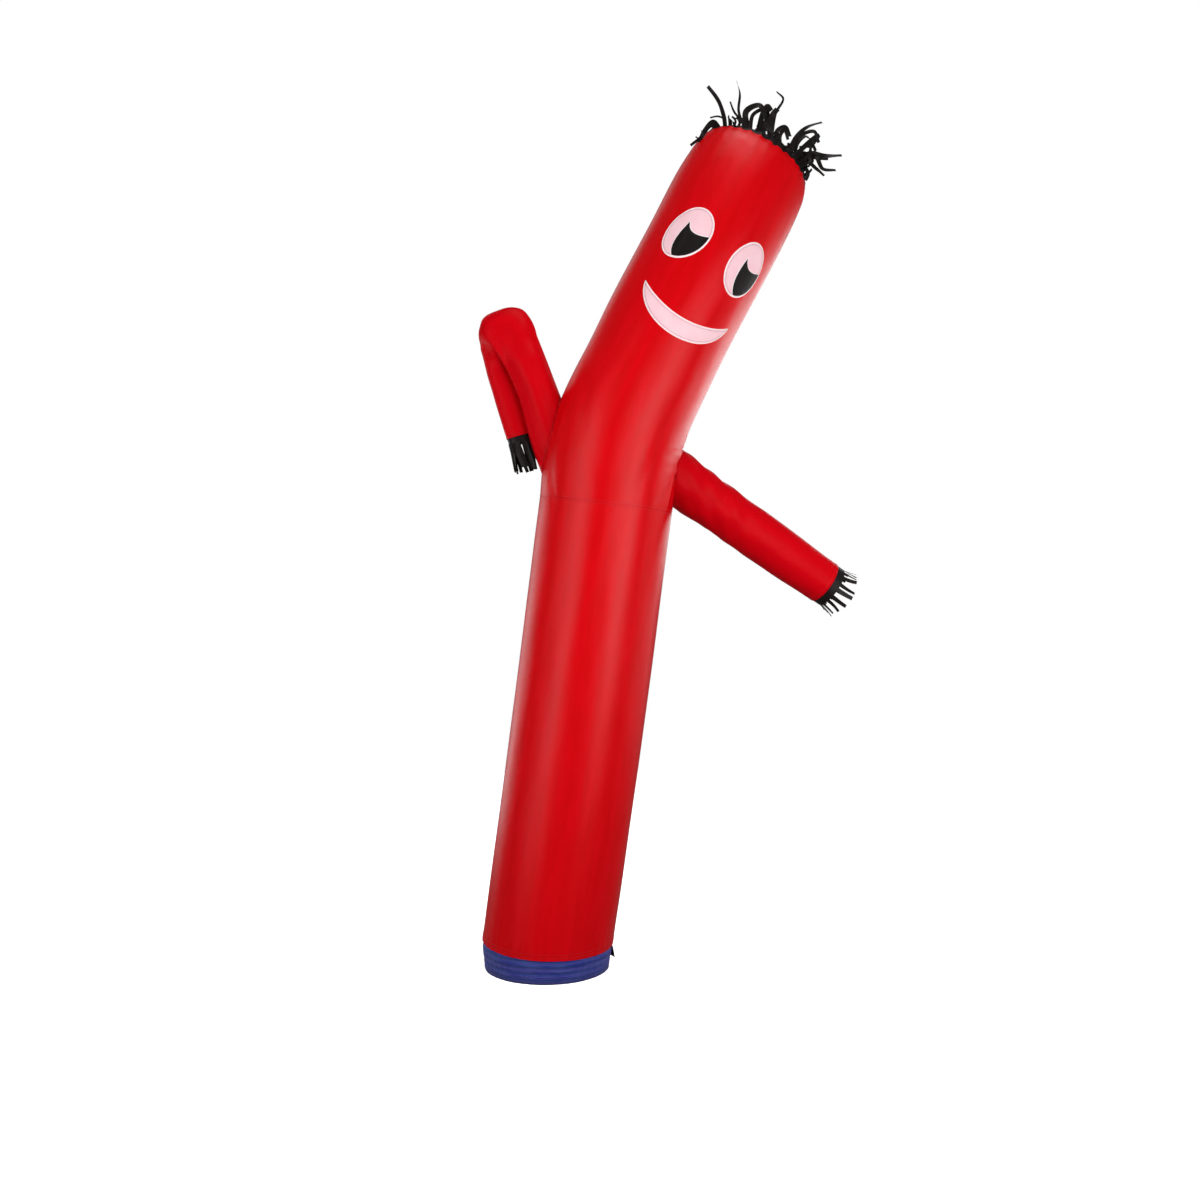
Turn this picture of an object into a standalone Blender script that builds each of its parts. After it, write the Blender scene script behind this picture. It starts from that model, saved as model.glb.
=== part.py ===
"""An inflatable air dancer, made as the cloth pieces that are cut, sewn and fitted together.

The pose is that of a tube held up by moving air: the body leans, the head bends further over, one arm has
folded down at the elbow and the other reaches out. Metres, +Z up, -Y is the face's side. The collar's foot
stands level on the floor, and the origin is on the floor under the middle of the whole shape.
"""

import bisect
import collections
import math
import random

import bmesh
import bpy
from mathutils import Vector

# ---- Driving dimensions, in metres and degrees --------------------------------------------------------

FOOT_CENTRE = (-0.4354, -0.0872, 0.0)  # the collar's middle, seen from the middle of the whole shape
WALL = 0.001                         # one layer of nylon
GAP = 0.0003                         # between pieces that are sewn or laid together
BODY_SIDES = 40
ARM_SIDES = 20

# The body's sections: the height of each one's centre, where that centre is, and its outer radius.
Section = collections.namedtuple("Section", "place height x y radius")
BODY = [
    Section("hem", 0.080, 0.002, 0.000, 0.2255),
    Section("shin", 0.397, 0.0465, 0.000, 0.2258),
    Section("thigh", 0.914, 0.117, 0.000, 0.2285),
    Section("waist", 1.431, 0.183, 0.000, 0.2285),
    Section("seam", 1.585, 0.2035, 0.000, 0.2285),
    Section("chest", 1.700, 0.2165, 0.000, 0.2310),
    Section("bend", 1.783, 0.2345, 0.000, 0.2300),
    Section("shoulder", 1.860, 0.2560, 0.000, 0.2260),
    Section("neck", 1.948, 0.2940, 0.003, 0.2230),
    Section("throat", 2.052, 0.3450, 0.009, 0.2205),
    Section("chin", 2.211, 0.4220, 0.022, 0.2210),
    Section("nose", 2.479, 0.5632, 0.055, 0.2232),
    Section("brow", 2.644, 0.6469, 0.088, 0.2245),
    Section("crown", 2.737, 0.6960, 0.110, 0.2180),
    Section("edge", 2.775, 0.7160, 0.120, 0.2090),
    Section("rim", 2.796, 0.7272, 0.1255, 0.1980),
]
SEAM_HEIGHT = 1.585      # the sewn line across the body that joins its two lengths of cloth
SEAM_PINCH = 0.0030
SEAM_PINCH_LENGTH = 0.016
LEVEL_BELOW = 0.080      # sections are level at the hem and square to the body above LEANING_ABOVE
LEANING_ABOVE = 0.400
CREASE_HEIGHT = 1.779    # the fold in the hollow of the bend, on the +X side
CREASE_DEPTH = 0.0060
CREASE_LENGTH = 0.022
CREASE_SPREAD = 62.0

LOWER_RINGS = [0.080, 0.098, 0.240, 0.400, 0.640, 0.900, 1.160, 1.420, 1.555, 1.585]
UPPER_RINGS = [1.585, 1.610, 1.655, 1.710, 1.755, 1.779, 1.803, 1.850, 1.905, 1.960, 2.020]
HEAD_RINGS = [2.020, 2.110, 2.220, 2.340, 2.460, 2.570, 2.650, 2.710, 2.745, 2.776, 2.796]

# The collar's outside, from its foot up to where it goes under the hem, with the webbing's three rows.
Band = collections.namedtuple("Band", "height radius")
COLLAR = [
    Band(0.000, 0.2140),
    Band(0.021, 0.2160),
    Band(0.023, 0.2145),
    Band(0.025, 0.2165),
    Band(0.046, 0.2195),
    Band(0.048, 0.2180),
    Band(0.050, 0.2200),
    Band(0.074, 0.2225),
]
COLLAR_WALL = 0.006
TUCK_HEIGHTS = (0.081, 0.095)  # the collar's edge, sewn inside the hem
HEM_SHIFT = 0.002              # how far the hem's middle is from the foot's, towards +X

# The strap that closes the collar: how far the lower and upper edge stand off the collar at each angle.
Strap = collections.namedtuple("Strap", "angle low_lift high_lift")
STRAP = [
    Strap(36.0, 0.000, 0.000),
    Strap(27.0, 0.000, 0.000),
    Strap(18.0, 0.000, 0.000),
    Strap(9.0, 0.002, 0.000),
    Strap(5.5, 0.007, 0.001),
    Strap(2.0, 0.015, 0.003),
]
STRAP_LOW = Band(0.024, 0.2169)
STRAP_HIGH = Band(0.060, 0.2216)
STRAP_THICK = 0.0020

# The folded arm. Its sections turn about a crease that runs back along the inside of the elbow.
ARM_RADIUS = 0.0735
ELBOW_FRONT = Vector((-0.1765, 0.000, 2.1195))
ELBOW_BACK = Vector((-0.1820, 0.080, 2.1310))
UPPER_ARM_LEAN = 20.8    # from straight up, towards -X
UPPER_ARM_DOWN = (0.500, 0.340, 0.220, 0.110)  # sections from inside the body up to the elbow
ELBOW_STEPS = 13

Reach = collections.namedtuple("Reach", "turn outer inner")
ELBOW = [
    Reach(0.0, 0.1510, 0.0040),
    Reach(25.0, 0.1640, 0.0075),
    Reach(36.0, 0.1680, 0.0080),
    Reach(50.0, 0.1580, 0.0080),
    Reach(66.0, 0.1390, 0.0080),
    Reach(91.0, 0.1230, 0.0080),
    Reach(106.0, 0.1010, 0.0080),
    Reach(141.0, 0.0660, 0.0060),
    Reach(174.8, 0.0600, 0.0030),
]
Forearm = collections.namedtuple("Forearm", "down outer inner")
FOREARM = [
    Forearm(0.020, 0.0595, -0.0060),
    Forearm(0.040, 0.0590, -0.0130),
    Forearm(0.090, 0.0570, -0.0200),
    Forearm(0.145, 0.0535, -0.0270),
    Forearm(0.205, 0.0510, -0.0320),
    Forearm(0.288, 0.0466, -0.0354),
    Forearm(0.300, 0.0460, -0.0360),
]

# The arm that reaches out, from inside the body to its open end.
Sleeve = collections.namedtuple("Sleeve", "place x y z radius")
RIGHT_ARM = [
    Sleeve("inside", 0.355, 0.027, 1.745, 0.0930),
    Sleeve("shoulder", 0.452, 0.050, 1.679, 0.0930),
    Sleeve("under shoulder", 0.520, 0.066, 1.632, 0.0885),
    Sleeve("above elbow", 0.620, 0.090, 1.565, 0.0860),
    Sleeve("elbow", 0.720, 0.1135, 1.496, 0.0850),
    Sleeve("forearm", 0.830, 0.140, 1.421, 0.0830),
    Sleeve("wrist", 0.930, 0.164, 1.353, 0.0790),
    Sleeve("end", 0.987, 0.177, 1.315, 0.0775),
]
RIGHT_ARM_RINGS = [0.355, 0.430, 0.490, 0.520, 0.550, 0.580, 0.610, 0.640, 0.670, 0.700, 0.740, 0.800, 0.870,
                   0.930, 0.975, 0.987]
PUCKER_FROM = 0.500      # soft slanting folds between the shoulder and the elbow
PUCKER_TO = 0.740
PUCKER_DEPTH = 0.0035
PUCKER_PITCH = 0.130

# Fringes: a strip of cloth inside each open end, its edge cut into strands.
STRIP_WALL = 0.0012
STRAND_SHARE = 0.56      # of the strip's edge is strand, and the rest is the gap beside it
STRAND_TAPER = 0.70
HAIR_STRANDS = 50
HAIR_PROUD = 0.006
HAIR_STEPS = 4
HAIR_LENGTHS = (0.070, 0.125)
HAIR_LEANS = (4.0, 34.0, 66.0)   # from the head's line, outwards, taken in turn round the rim
HAIR_CURLS = (-10.0, 45.0)       # how much further a strand leans by its tip
HAIR_SWING = 14.0                # how far strands swing sideways, this way and that round the rim
HAIR_SWING_WAVES = 3
ARM_STRANDS = 14
ARM_FRINGE_PROUD = 0.018
ARM_FRINGE_STEPS = 3
ARM_FRINGE_LENGTHS = (0.055, 0.090)
HANGING_LEANS = (-5.0, 0.0)      # the folded arm's fringe hangs, and the reaching arm's flies out
HANGING_CURLS = (-4.0, 2.0)
FLYING_LEANS = (2.0, 14.0)
FLYING_CURLS = (0.0, 22.0)
ARM_FRINGE_SWING = 5.0
RANDOM_START = 11

# The strands of hair that reach furthest, each in place of the ordinary strand at its angle round the rim.
Lock = collections.namedtuple("Lock", "angle length lean curl swing")
LOCKS = [
    Lock(-132.0, 0.165, 2.0, 24.0, -20.0),
    Lock(-99.0, 0.185, 0.0, 8.0, -22.0),
    Lock(-67.0, 0.150, 2.0, 12.0, -12.0),
    Lock(-16.0, 0.180, 36.0, 20.0, 8.0),
    Lock(16.0, 0.145, 44.0, 30.0, 10.0),
    Lock(-176.0, 0.120, 55.0, 70.0, 0.0),
]

# The face's patches lie on the head as flat cuttings: across is measured round the head from the face's
# middle, and down is measured from the rim along the head.
PATCH = 0.0010
PATCH_GAP = 0.0004
PATCH_STEP_ACROSS = 0.0120
PATCH_STEP_DOWN = 0.060
FACE_RADIUS = 0.2228
FACE_TURN = 13.2         # the face's middle, from straight ahead towards +X
OVAL_STEPS = 28

Oval = collections.namedtuple("Oval", "side across down half_width half_height tilt")
EYES = [
    Oval("left", -0.121, 0.426, 0.074, 0.097, 25.0),
    Oval("right", 0.123, 0.433, 0.072, 0.099, 15.0),
]
# Pupils, in the half sizes of their eye, to the right and up from its middle.
PUPIL_TIP = (-0.35, 0.37)
PUPIL_SIDE_BOW = (-0.32, -0.70)      # the left side bows towards this point
PUPIL_TOP_BOW = (0.14, -0.09)        # and the hollow top dips towards this one
PUPIL_ROUND_FROM = -70.0             # between these angles it follows the eye's edge
PUPIL_ROUND_TO = 26.0
PUPIL_REACH = 0.965
PUPIL_STEPS = 9

MOUTH_HALF_WIDTH = 0.181
MOUTH_TIP_DOWN = 0.6225
MOUTH_UPPER_SAG = 0.065
MOUTH_LOWER_SAG = 0.127
MOUTH_LOWER_FULLNESS = 0.62
MOUTH_STEPS = 18

RED = (0.66, 0.004, 0.012, 1.0)
BLUE = (0.045, 0.060, 0.300, 1.0)
BLACK = (0.012, 0.010, 0.010, 1.0)
PINK = (0.93, 0.60, 0.66, 1.0)


# ---- Plain helpers ------------------------------------------------------------------------------------

def through(keys, values, at):
    """The value at one key of a smooth curve through all of them."""
    low = min(max(bisect.bisect_right(keys, at) - 1, 0), len(keys) - 2)

    def slope(index):
        before, after = max(index - 1, 0), min(index + 1, len(keys) - 1)
        return (values[after] - values[before]) / (keys[after] - keys[before])

    span = keys[low + 1] - keys[low]
    t = (at - keys[low]) / span
    return (values[low] * (2 * t**3 - 3 * t**2 + 1) + values[low + 1] * (3 * t**2 - 2 * t**3)
            + span * (slope(low) * (t**3 - 2 * t**2 + t) + slope(low + 1) * (t**3 - t**2)))


def column(rows, name):
    return [getattr(row, name) for row in rows]


def read(rows, key, name, at):
    """The smooth value of one of a table's columns, where its key column has this value."""
    return through(column(rows, key), column(rows, name), at)


def ease(value, start, end):
    share = min(max((value - start) / (end - start), 0.0), 1.0)
    return share * share * (3 - 2 * share)


def turn(count):
    return [2 * math.pi * step / count for step in range(count)]


def steps(start, end, count):
    return [start + (end - start) * step / count for step in range(count + 1)]


def material(name, colour, roughness):
    made = bpy.data.materials.new(name)
    made.use_nodes = True
    shader = made.node_tree.nodes["Principled BSDF"]
    shader.inputs["Base Color"].default_value = colour
    shader.inputs["Roughness"].default_value = roughness
    shader.inputs["Metallic"].default_value = 0.0
    return made


def place(name, mesh, finish):
    """A new object of this mesh, shaded smooth, standing with the rest about the collar's middle."""
    recalculated = bmesh.new()
    recalculated.from_mesh(mesh)
    bmesh.ops.recalc_face_normals(recalculated, faces=recalculated.faces)
    recalculated.to_mesh(mesh)
    recalculated.free()
    made = bpy.data.objects.new(name, mesh)
    mesh.materials.append(finish)
    mesh.shade_smooth()
    mesh.set_sharp_from_angle(angle=math.radians(35.0))
    made.parent = bpy.data.objects["foot_centre"]
    bpy.context.scene.collection.objects.link(made)
    return made


def loft(name, rings, closed):
    """A mesh through rings of points. Closed, its last ring joins its first, and else its ends are capped."""
    mesh = bpy.data.meshes.new(name)
    sides = len(rings[0])
    points = [point for ring in rings for point in ring]
    faces = []
    for level in range(len(rings) if closed else len(rings) - 1):
        low, high = level * sides, (level + 1) % len(rings) * sides
        for side in range(sides):
            after = (side + 1) % sides
            faces.append((low + side, low + after, high + after, high + side))
    if not closed:
        faces += [tuple(range(sides)), tuple(range(len(points) - sides, len(points)))]
    mesh.from_pydata(points, [], faces)
    return mesh


def cloth(name, front, behind, tube):
    """A mesh of one layer of cloth: its two sides are rows of points, split along the same diagonals."""
    rows, columns = len(front), len(front[0])

    def at(side, row, column):
        return (side * rows + row) * columns + column % columns

    across = columns if tube else columns - 1
    faces = []
    for row in range(rows - 1):
        for column in range(across):
            near, far = [[at(side, row, column), at(side, row, column + 1), at(side, row + 1, column + 1),
                          at(side, row + 1, column)] for side in (0, 1)]
            faces += [near[:3], [near[0], *near[2:]], [far[0], far[2], far[1]], [far[0], far[3], far[2]]]
    for row in (0, rows - 1):
        for column in range(across):
            faces.append((at(0, row, column), at(1, row, column), at(1, row, column + 1), at(0, row, column + 1)))
    if not tube:
        for column in (0, columns - 1):
            for row in range(rows - 1):
                faces.append((at(0, row, column), at(0, row + 1, column), at(1, row + 1, column),
                              at(1, row, column)))
    mesh = bpy.data.meshes.new(name)
    mesh.from_pydata([point for row in front + behind for point in row], [], faces)
    return mesh


def sleeve(name, finish, ring, stations):
    """A tube of cloth: ring(station, inset) gives the points of a section, and the inset is its wall."""
    outside, inside = [[ring(station, inset) for station in stations] for inset in (0.0, WALL)]
    return place(name, cloth(name, outside, inside, tube=True), finish)


def cut(target, name, mesh):
    """Takes a solid that isn't part of the object away from one that is."""
    cutter = place(name, mesh, target.data.materials[0])
    cutter.hide_render = True
    cutter.display_type = "WIRE"
    boolean = target.modifiers.new(name, "BOOLEAN")
    boolean.operation = "DIFFERENCE"
    boolean.solver = "EXACT"
    boolean.object = cutter


# ---- The body -----------------------------------------------------------------------------------------

def body_centre(height):
    return Vector((read(BODY, "height", "x", height), read(BODY, "height", "y", height), height))


def body_frame(height):
    """The middle of the section at this height, and its directions to the right, back and along."""
    step = 0.002
    along = (body_centre(height + step) - body_centre(height - step)).normalized()
    along = Vector((0, 0, 1)).lerp(along, ease(height, LEVEL_BELOW, LEANING_ABOVE)).normalized()
    right = (Vector((1, 0, 0)) - along.x * along).normalized()
    return body_centre(height), right, along.cross(right), along


def body_radius(height, angle):
    radius = read(BODY, "height", "radius", height)
    radius -= SEAM_PINCH * math.exp(-((height - SEAM_HEIGHT) / SEAM_PINCH_LENGTH) ** 2)
    off_crease = min(abs(math.degrees(angle)) / CREASE_SPREAD, 1.0)
    crease = CREASE_DEPTH * math.cos(off_crease * math.pi / 2)
    return radius - crease * math.exp(-((height - CREASE_HEIGHT) / CREASE_LENGTH) ** 2)


def body_point(height, angle, lift=0.0):
    centre, right, back, _ = body_frame(height)
    angle = (angle + math.pi) % (2 * math.pi) - math.pi
    return centre + (body_radius(height, angle) + lift) * (math.cos(angle) * right + math.sin(angle) * back)


def body_ring(height, inset):
    return [body_point(height, angle, -inset) for angle in turn(BODY_SIDES)]


def body_cloth(name, heights, finish):
    """One length of the body, which stops just short of the length below it."""
    return sleeve(name, finish, body_ring, [heights[0] + GAP] + heights[1:])


def body_envelope(low, high):
    """The space that the body takes up, with room to sew an arm against it."""
    heights = [height for height in LOWER_RINGS + UPPER_RINGS[1:] + HEAD_RINGS[1:] if low < height < high]
    return loft("body_envelope", [body_ring(height, -GAP) for height in heights], closed=False)


# ---- The collar and its strap -------------------------------------------------------------------------

def circle(height, radius, angle):
    shift = HEM_SHIFT * height / BODY[0].height
    return Vector((shift + radius * math.cos(angle), radius * math.sin(angle), height))


def collar(finish):
    def ring(inset):
        bands = [[circle(band.height, band.radius - inset, angle) for angle in turn(BODY_SIDES)]
                 for band in COLLAR]
        return bands + [body_ring(height, WALL + GAP + inset) for height in TUCK_HEIGHTS]

    outside, inside = ring(0.0), ring(COLLAR_WALL)
    plain = [inside[0], inside[3], inside[-2], inside[-1]]
    return place("collar", loft("collar", outside + plain[::-1], closed=True), finish)


def closing_strap(finish):
    def side(lift):
        return [[circle(edge.height, edge.radius + stand + lift, math.radians(row.angle))
                 for edge, stand in ((STRAP_LOW, row.low_lift), (STRAP_HIGH, row.high_lift))] for row in STRAP]

    return place("closing_strap", cloth("closing_strap", side(STRAP_THICK), side(0.0), tube=False), finish)


# ---- The arms -----------------------------------------------------------------------------------------

Flat = collections.namedtuple("Flat", "centre outward half_width half_depth")


def flattened(pivot, angle, outer, inner):
    """A section of the folded arm: what it loses in width it gains in depth, because cloth doesn't stretch."""
    outward = Vector((math.cos(angle), 0.0, math.sin(angle)))
    half_width = (outer - inner) / 2
    half_depth = math.sqrt(2 * ARM_RADIUS**2 - half_width**2)
    return Flat(pivot + outward * (outer + inner) / 2, outward, half_width, half_depth)


def folded_arm_sections():
    start = math.radians(UPPER_ARM_LEAN)
    first, last = ELBOW[0], ELBOW[-1]
    along = Vector((-math.sin(start), 0.0, math.cos(start)))
    sections = [flattened(ELBOW_FRONT - along * down, start, first.outer, first.inner)
                for down in UPPER_ARM_DOWN]
    for turned in steps(0.0, last.turn, ELBOW_STEPS):
        pivot = ELBOW_FRONT.lerp(ELBOW_BACK, ease(turned, 0.0, last.turn))
        outer, inner = read(ELBOW, "turn", "outer", turned), read(ELBOW, "turn", "inner", turned)
        sections.append(flattened(pivot, start + math.radians(turned), outer, inner))
    end = start + math.radians(last.turn)
    downward = Vector((-math.sin(end), 0.0, math.cos(end)))
    sections += [flattened(ELBOW_BACK + downward * row.down, end, row.outer, row.inner) for row in FOREARM]
    return sections


def flat_ring(section, inset):
    return [section.centre + (section.half_width - inset) * math.cos(angle) * section.outward
            + (section.half_depth - inset) * math.sin(angle) * Vector((0, 1, 0)) for angle in turn(ARM_SIDES)]


def reaching_arm_centre(x):
    return Vector((x, read(RIGHT_ARM, "x", "y", x), read(RIGHT_ARM, "x", "z", x)))


def reaching_arm_ring(x, inset):
    step = 0.002
    along = (reaching_arm_centre(x + step) - reaching_arm_centre(x - step)).normalized()
    back = Vector((0, 0, 1)).cross(along).normalized()
    up = along.cross(back)
    half = PUCKER_PITCH / 2
    puckered = ease(x, PUCKER_FROM, PUCKER_FROM + half) * (1 - ease(x, PUCKER_TO - half, PUCKER_TO))
    ring = []
    for angle in turn(ARM_SIDES):
        fold = math.sin(2 * math.pi * (x - PUCKER_FROM) / PUCKER_PITCH + angle)
        radius = read(RIGHT_ARM, "x", "radius", x) - inset - PUCKER_DEPTH * puckered * (1 + fold) / 2
        ring.append(reaching_arm_centre(x) + radius * (math.cos(angle) * up + math.sin(angle) * back))
    return ring


# ---- Fringes ------------------------------------------------------------------------------------------

Strand = collections.namedtuple("Strand", "length lean curl swing")


def round_the_ring(ring, count):
    """Points spread evenly along the straight sides of a ring, in pairs: a strand's start and its end."""
    points = []
    for strand in range(count):
        for share in (0.0, STRAND_SHARE):
            place_on_ring = (strand + share) / count * len(ring)
            side = int(place_on_ring)
            points.append(ring[side].lerp(ring[(side + 1) % len(ring)], place_on_ring - side))
    return points


def grow_strand(mesh, root, along, strand, count):
    """Draws a strip's cut edge out into one strand, through the corners of its root."""
    start = sum((corner.co for corner in root), Vector()) / 4
    across = (root[1].co - root[0].co) / 2
    out = (root[0].co - root[3].co).normalized()
    thick = (root[0].co - root[3].co).length / 2
    half_width, side = across.length, across.normalized()
    centre, below = start, root
    for step in range(1, count + 1):
        lean = math.radians(strand.lean + strand.curl * step / count)
        direction = along * math.cos(lean) + out * math.sin(lean)
        direction = (direction + side * math.tan(math.radians(strand.swing)) * step / count).normalized()
        centre = centre + direction * strand.length / count
        edge = (side - side.dot(direction) * direction).normalized()
        face = edge.cross(direction)
        face *= math.copysign(thick, face.dot(out * math.cos(lean) - along * math.sin(lean)))
        edge *= half_width * (1 - (1 - STRAND_TAPER) * step / count)
        corners = [centre - edge + face, centre + edge + face, centre + edge - face, centre - edge - face]
        above = [mesh.verts.new(corner) for corner in corners]
        for corner in range(4):
            after = (corner + 1) % 4
            mesh.faces.new((below[corner], below[after], above[after], above[corner]))
        below = above
    mesh.faces.new(below)


def fringe(name, ring, deep, end, proud, strands, growth, finish):
    """A strip that lines a tube's end, from a section inside it to a little proud of it, cut into strands."""
    count = len(strands)
    outer = [round_the_ring(ring(station, WALL + GAP), count) for station in (deep, end)]
    inner = [round_the_ring(ring(station, WALL + GAP + STRIP_WALL), count) for station in (deep, end)]
    middles = [sum(points, Vector()) / len(points) for points in outer]
    along = (middles[1] - middles[0]).normalized()
    for points in (outer, inner):
        points.append([point + along * proud for point in points[-1]])
    mesh = bmesh.new()
    levels = [[mesh.verts.new(point) for point in points] for points in outer + inner[::-1]]
    around = 2 * count
    for low, high in zip(levels, levels[1:] + levels[:1]):
        top = low is levels[len(outer) - 1]
        for side in range(around):
            after = (side + 1) % around
            if not (top and side % 2 == 0):
                mesh.faces.new((low[side], low[after], high[after], high[side]))
    edge_outer, edge_inner = levels[len(outer) - 1], levels[len(outer)]
    for number, strand in enumerate(strands):
        first, last = 2 * number, 2 * number + 1
        root = [edge_outer[first], edge_outer[last], edge_inner[last], edge_inner[first]]
        grow_strand(mesh, root, along, strand, growth)
    made = bpy.data.meshes.new(name)
    mesh.to_mesh(made)
    mesh.free()
    return place(name, made, finish)


def hair_strands(chance):
    strands = []
    for number in range(HAIR_STRANDS):
        swing = HAIR_SWING * math.sin(2 * math.pi * HAIR_SWING_WAVES * number / HAIR_STRANDS)
        lean = HAIR_LEANS[number % len(HAIR_LEANS)] + chance.uniform(-6.0, 6.0)
        strands.append(Strand(chance.uniform(*HAIR_LENGTHS), lean, chance.uniform(*HAIR_CURLS), swing))
    for lock in LOCKS:
        number = round(lock.angle % 360.0 / 360.0 * HAIR_STRANDS) % HAIR_STRANDS
        strands[number] = Strand(lock.length, lock.lean, lock.curl, lock.swing)
    return strands


def arm_strands(chance, leans, curls):
    return [Strand(chance.uniform(*ARM_FRINGE_LENGTHS), chance.uniform(*leans), chance.uniform(*curls),
                   ARM_FRINGE_SWING * math.sin(angle)) for angle in turn(ARM_STRANDS)]


# ---- The face's patches -------------------------------------------------------------------------------

def heights_down_the_head():
    """How far down the head from the rim, measured along it, each of its heights lies."""
    heights = steps(BODY[-1].height, BODY[0].height, 400)
    down = [0.0]
    for above, below in zip(heights, heights[1:]):
        down.append(down[-1] + (body_centre(above) - body_centre(below)).length)
    return down, heights


HEAD_DOWN, HEAD_HEIGHTS = heights_down_the_head()


def head_point(across, down, lift):
    angle = math.radians(FACE_TURN - 90.0) + across / FACE_RADIUS
    return body_point(through(HEAD_DOWN, HEAD_HEIGHTS, down), angle, lift)


def patch(name, outline, lift, finish):
    """A flat cutting, parted by fine lines so that it bends with the head, thickened, and laid on it."""
    cutting = bmesh.new()
    cutting.faces.new([cutting.verts.new((across, down, 0.0)) for across, down in outline])
    for axis, pitch in enumerate((PATCH_STEP_ACROSS, PATCH_STEP_DOWN)):
        reach = [point[axis] for point in outline]
        for line in range(math.ceil(min(reach) / pitch), math.floor(max(reach) / pitch) + 1):
            normal = Vector([1.0 if axis == other else 0.0 for other in range(3)])
            everything = cutting.verts[:] + cutting.edges[:] + cutting.faces[:]
            bmesh.ops.bisect_plane(cutting, geom=everything, dist=1e-6, plane_co=normal * line * pitch,
                                   plane_no=normal)
    bmesh.ops.triangulate(cutting, faces=cutting.faces[:])
    grown = bmesh.ops.extrude_face_region(cutting, geom=cutting.faces[:], use_keep_orig=True)
    for part in grown["geom"]:
        if isinstance(part, bmesh.types.BMVert):
            part.co.z = PATCH
    for vert in cutting.verts:
        vert.co = head_point(vert.co.x, vert.co.y, lift + vert.co.z)
    made = bpy.data.meshes.new(name)
    cutting.to_mesh(made)
    cutting.free()
    return place(name, made, finish)


def in_oval(oval, right, up):
    """A point given in the oval's own half sizes, from its middle."""
    tilt = math.radians(oval.tilt)
    wide, high = oval.half_width * right, oval.half_height * up
    return (oval.across + wide * math.cos(tilt) + high * math.sin(tilt),
            oval.down + wide * math.sin(tilt) - high * math.cos(tilt))


def oval_point(oval, angle):
    return in_oval(oval, math.cos(angle), math.sin(angle))


def bowed(start, bow, end):
    """A curve that leaves start towards bow and comes to end from it, without its last point."""
    start, bow, end = Vector(start), Vector(bow), Vector(end)
    return [start.lerp(bow, share).lerp(bow.lerp(end, share), share)
            for share in steps(0.0, 1.0, PUPIL_STEPS)[:-1]]


def pupil_outline(eye):
    """A drop along the low side of its eye, with a hollow in its top where the eye glints."""
    edge = [PUPIL_REACH * Vector((math.cos(angle), math.sin(angle)))
            for angle in steps(math.radians(PUPIL_ROUND_FROM), math.radians(PUPIL_ROUND_TO), PUPIL_STEPS)]
    outline = bowed(PUPIL_TIP, PUPIL_SIDE_BOW, edge[0]) + edge[:-1] + bowed(edge[-1], PUPIL_TOP_BOW, PUPIL_TIP)
    return [in_oval(eye, *point) for point in outline]


def mouth_outline():
    def edge(across, sag, fullness):
        return MOUTH_TIP_DOWN + sag * (1 - (across / MOUTH_HALF_WIDTH) ** 2) ** fullness

    shares = steps(-math.pi / 2, math.pi / 2, MOUTH_STEPS)
    acrosses = [MOUTH_HALF_WIDTH * math.sin(share) for share in shares]
    upper = [(across, edge(across, MOUTH_UPPER_SAG, 1.0)) for across in acrosses]
    lower = [(across, edge(across, MOUTH_LOWER_SAG, MOUTH_LOWER_FULLNESS)) for across in acrosses]
    return upper + lower[-2:0:-1]


# ---- The whole ----------------------------------------------------------------------------------------

def build():
    for old in list(bpy.data.objects):
        bpy.data.objects.remove(old)
    foot = bpy.data.objects.new("foot_centre", None)
    foot.location = FOOT_CENTRE
    bpy.context.scene.collection.objects.link(foot)

    red = material("red_nylon", RED, 0.42)
    blue = material("blue_webbing", BLUE, 0.55)
    black = material("black_nylon", BLACK, 0.50)
    pink = material("pale_pink_cloth", PINK, 0.60)

    body_cloth("tube_lower", LOWER_RINGS, red)
    upper = body_cloth("tube_upper", UPPER_RINGS, red)
    body_cloth("head", HEAD_RINGS, red)
    collar(blue)
    closing_strap(black)

    folded = folded_arm_sections()
    left = sleeve("arm_left", red, flat_ring, folded)
    right = sleeve("arm_right", red, reaching_arm_ring, RIGHT_ARM_RINGS)
    envelope = body_envelope(1.30, 2.25)
    cut(left, "body_left", envelope)
    cut(right, "body_right", envelope)
    cut(upper, "way_left", loft("way_left", [flat_ring(section, WALL) for section in folded[:4]], closed=False))
    cut(upper, "way_right", loft("way_right", [reaching_arm_ring(x, WALL) for x in RIGHT_ARM_RINGS[:4]],
                                 closed=False))

    chance = random.Random(RANDOM_START)
    fringe("hair", body_ring, HEAD_RINGS[-2], HEAD_RINGS[-1], HAIR_PROUD, hair_strands(chance), HAIR_STEPS,
           black)
    fringe("fringe_left", flat_ring, folded[-2], folded[-1], ARM_FRINGE_PROUD,
           arm_strands(chance, HANGING_LEANS, HANGING_CURLS), ARM_FRINGE_STEPS, black)
    fringe("fringe_right", reaching_arm_ring, RIGHT_ARM_RINGS[-2], RIGHT_ARM_RINGS[-1], ARM_FRINGE_PROUD,
           arm_strands(chance, FLYING_LEANS, FLYING_CURLS), ARM_FRINGE_STEPS, black)

    for eye in EYES:
        oval = [oval_point(eye, angle) for angle in turn(OVAL_STEPS)]
        patch("eye_" + eye.side, oval, PATCH_GAP, pink)
        patch("pupil_" + eye.side, pupil_outline(eye), PATCH_GAP + PATCH + PATCH_GAP, black)
    patch("mouth", mouth_outline(), PATCH_GAP, pink)


build()
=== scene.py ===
"""The looks of an inflatable air dancer: its cloth, stitching, webbing and fringes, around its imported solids.

Lengths are in metres and angles in degrees. Every piece is made about the middle of the collar's foot, on
the same tables as the solids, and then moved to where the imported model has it.
"""

import collections
import math
import random

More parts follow.
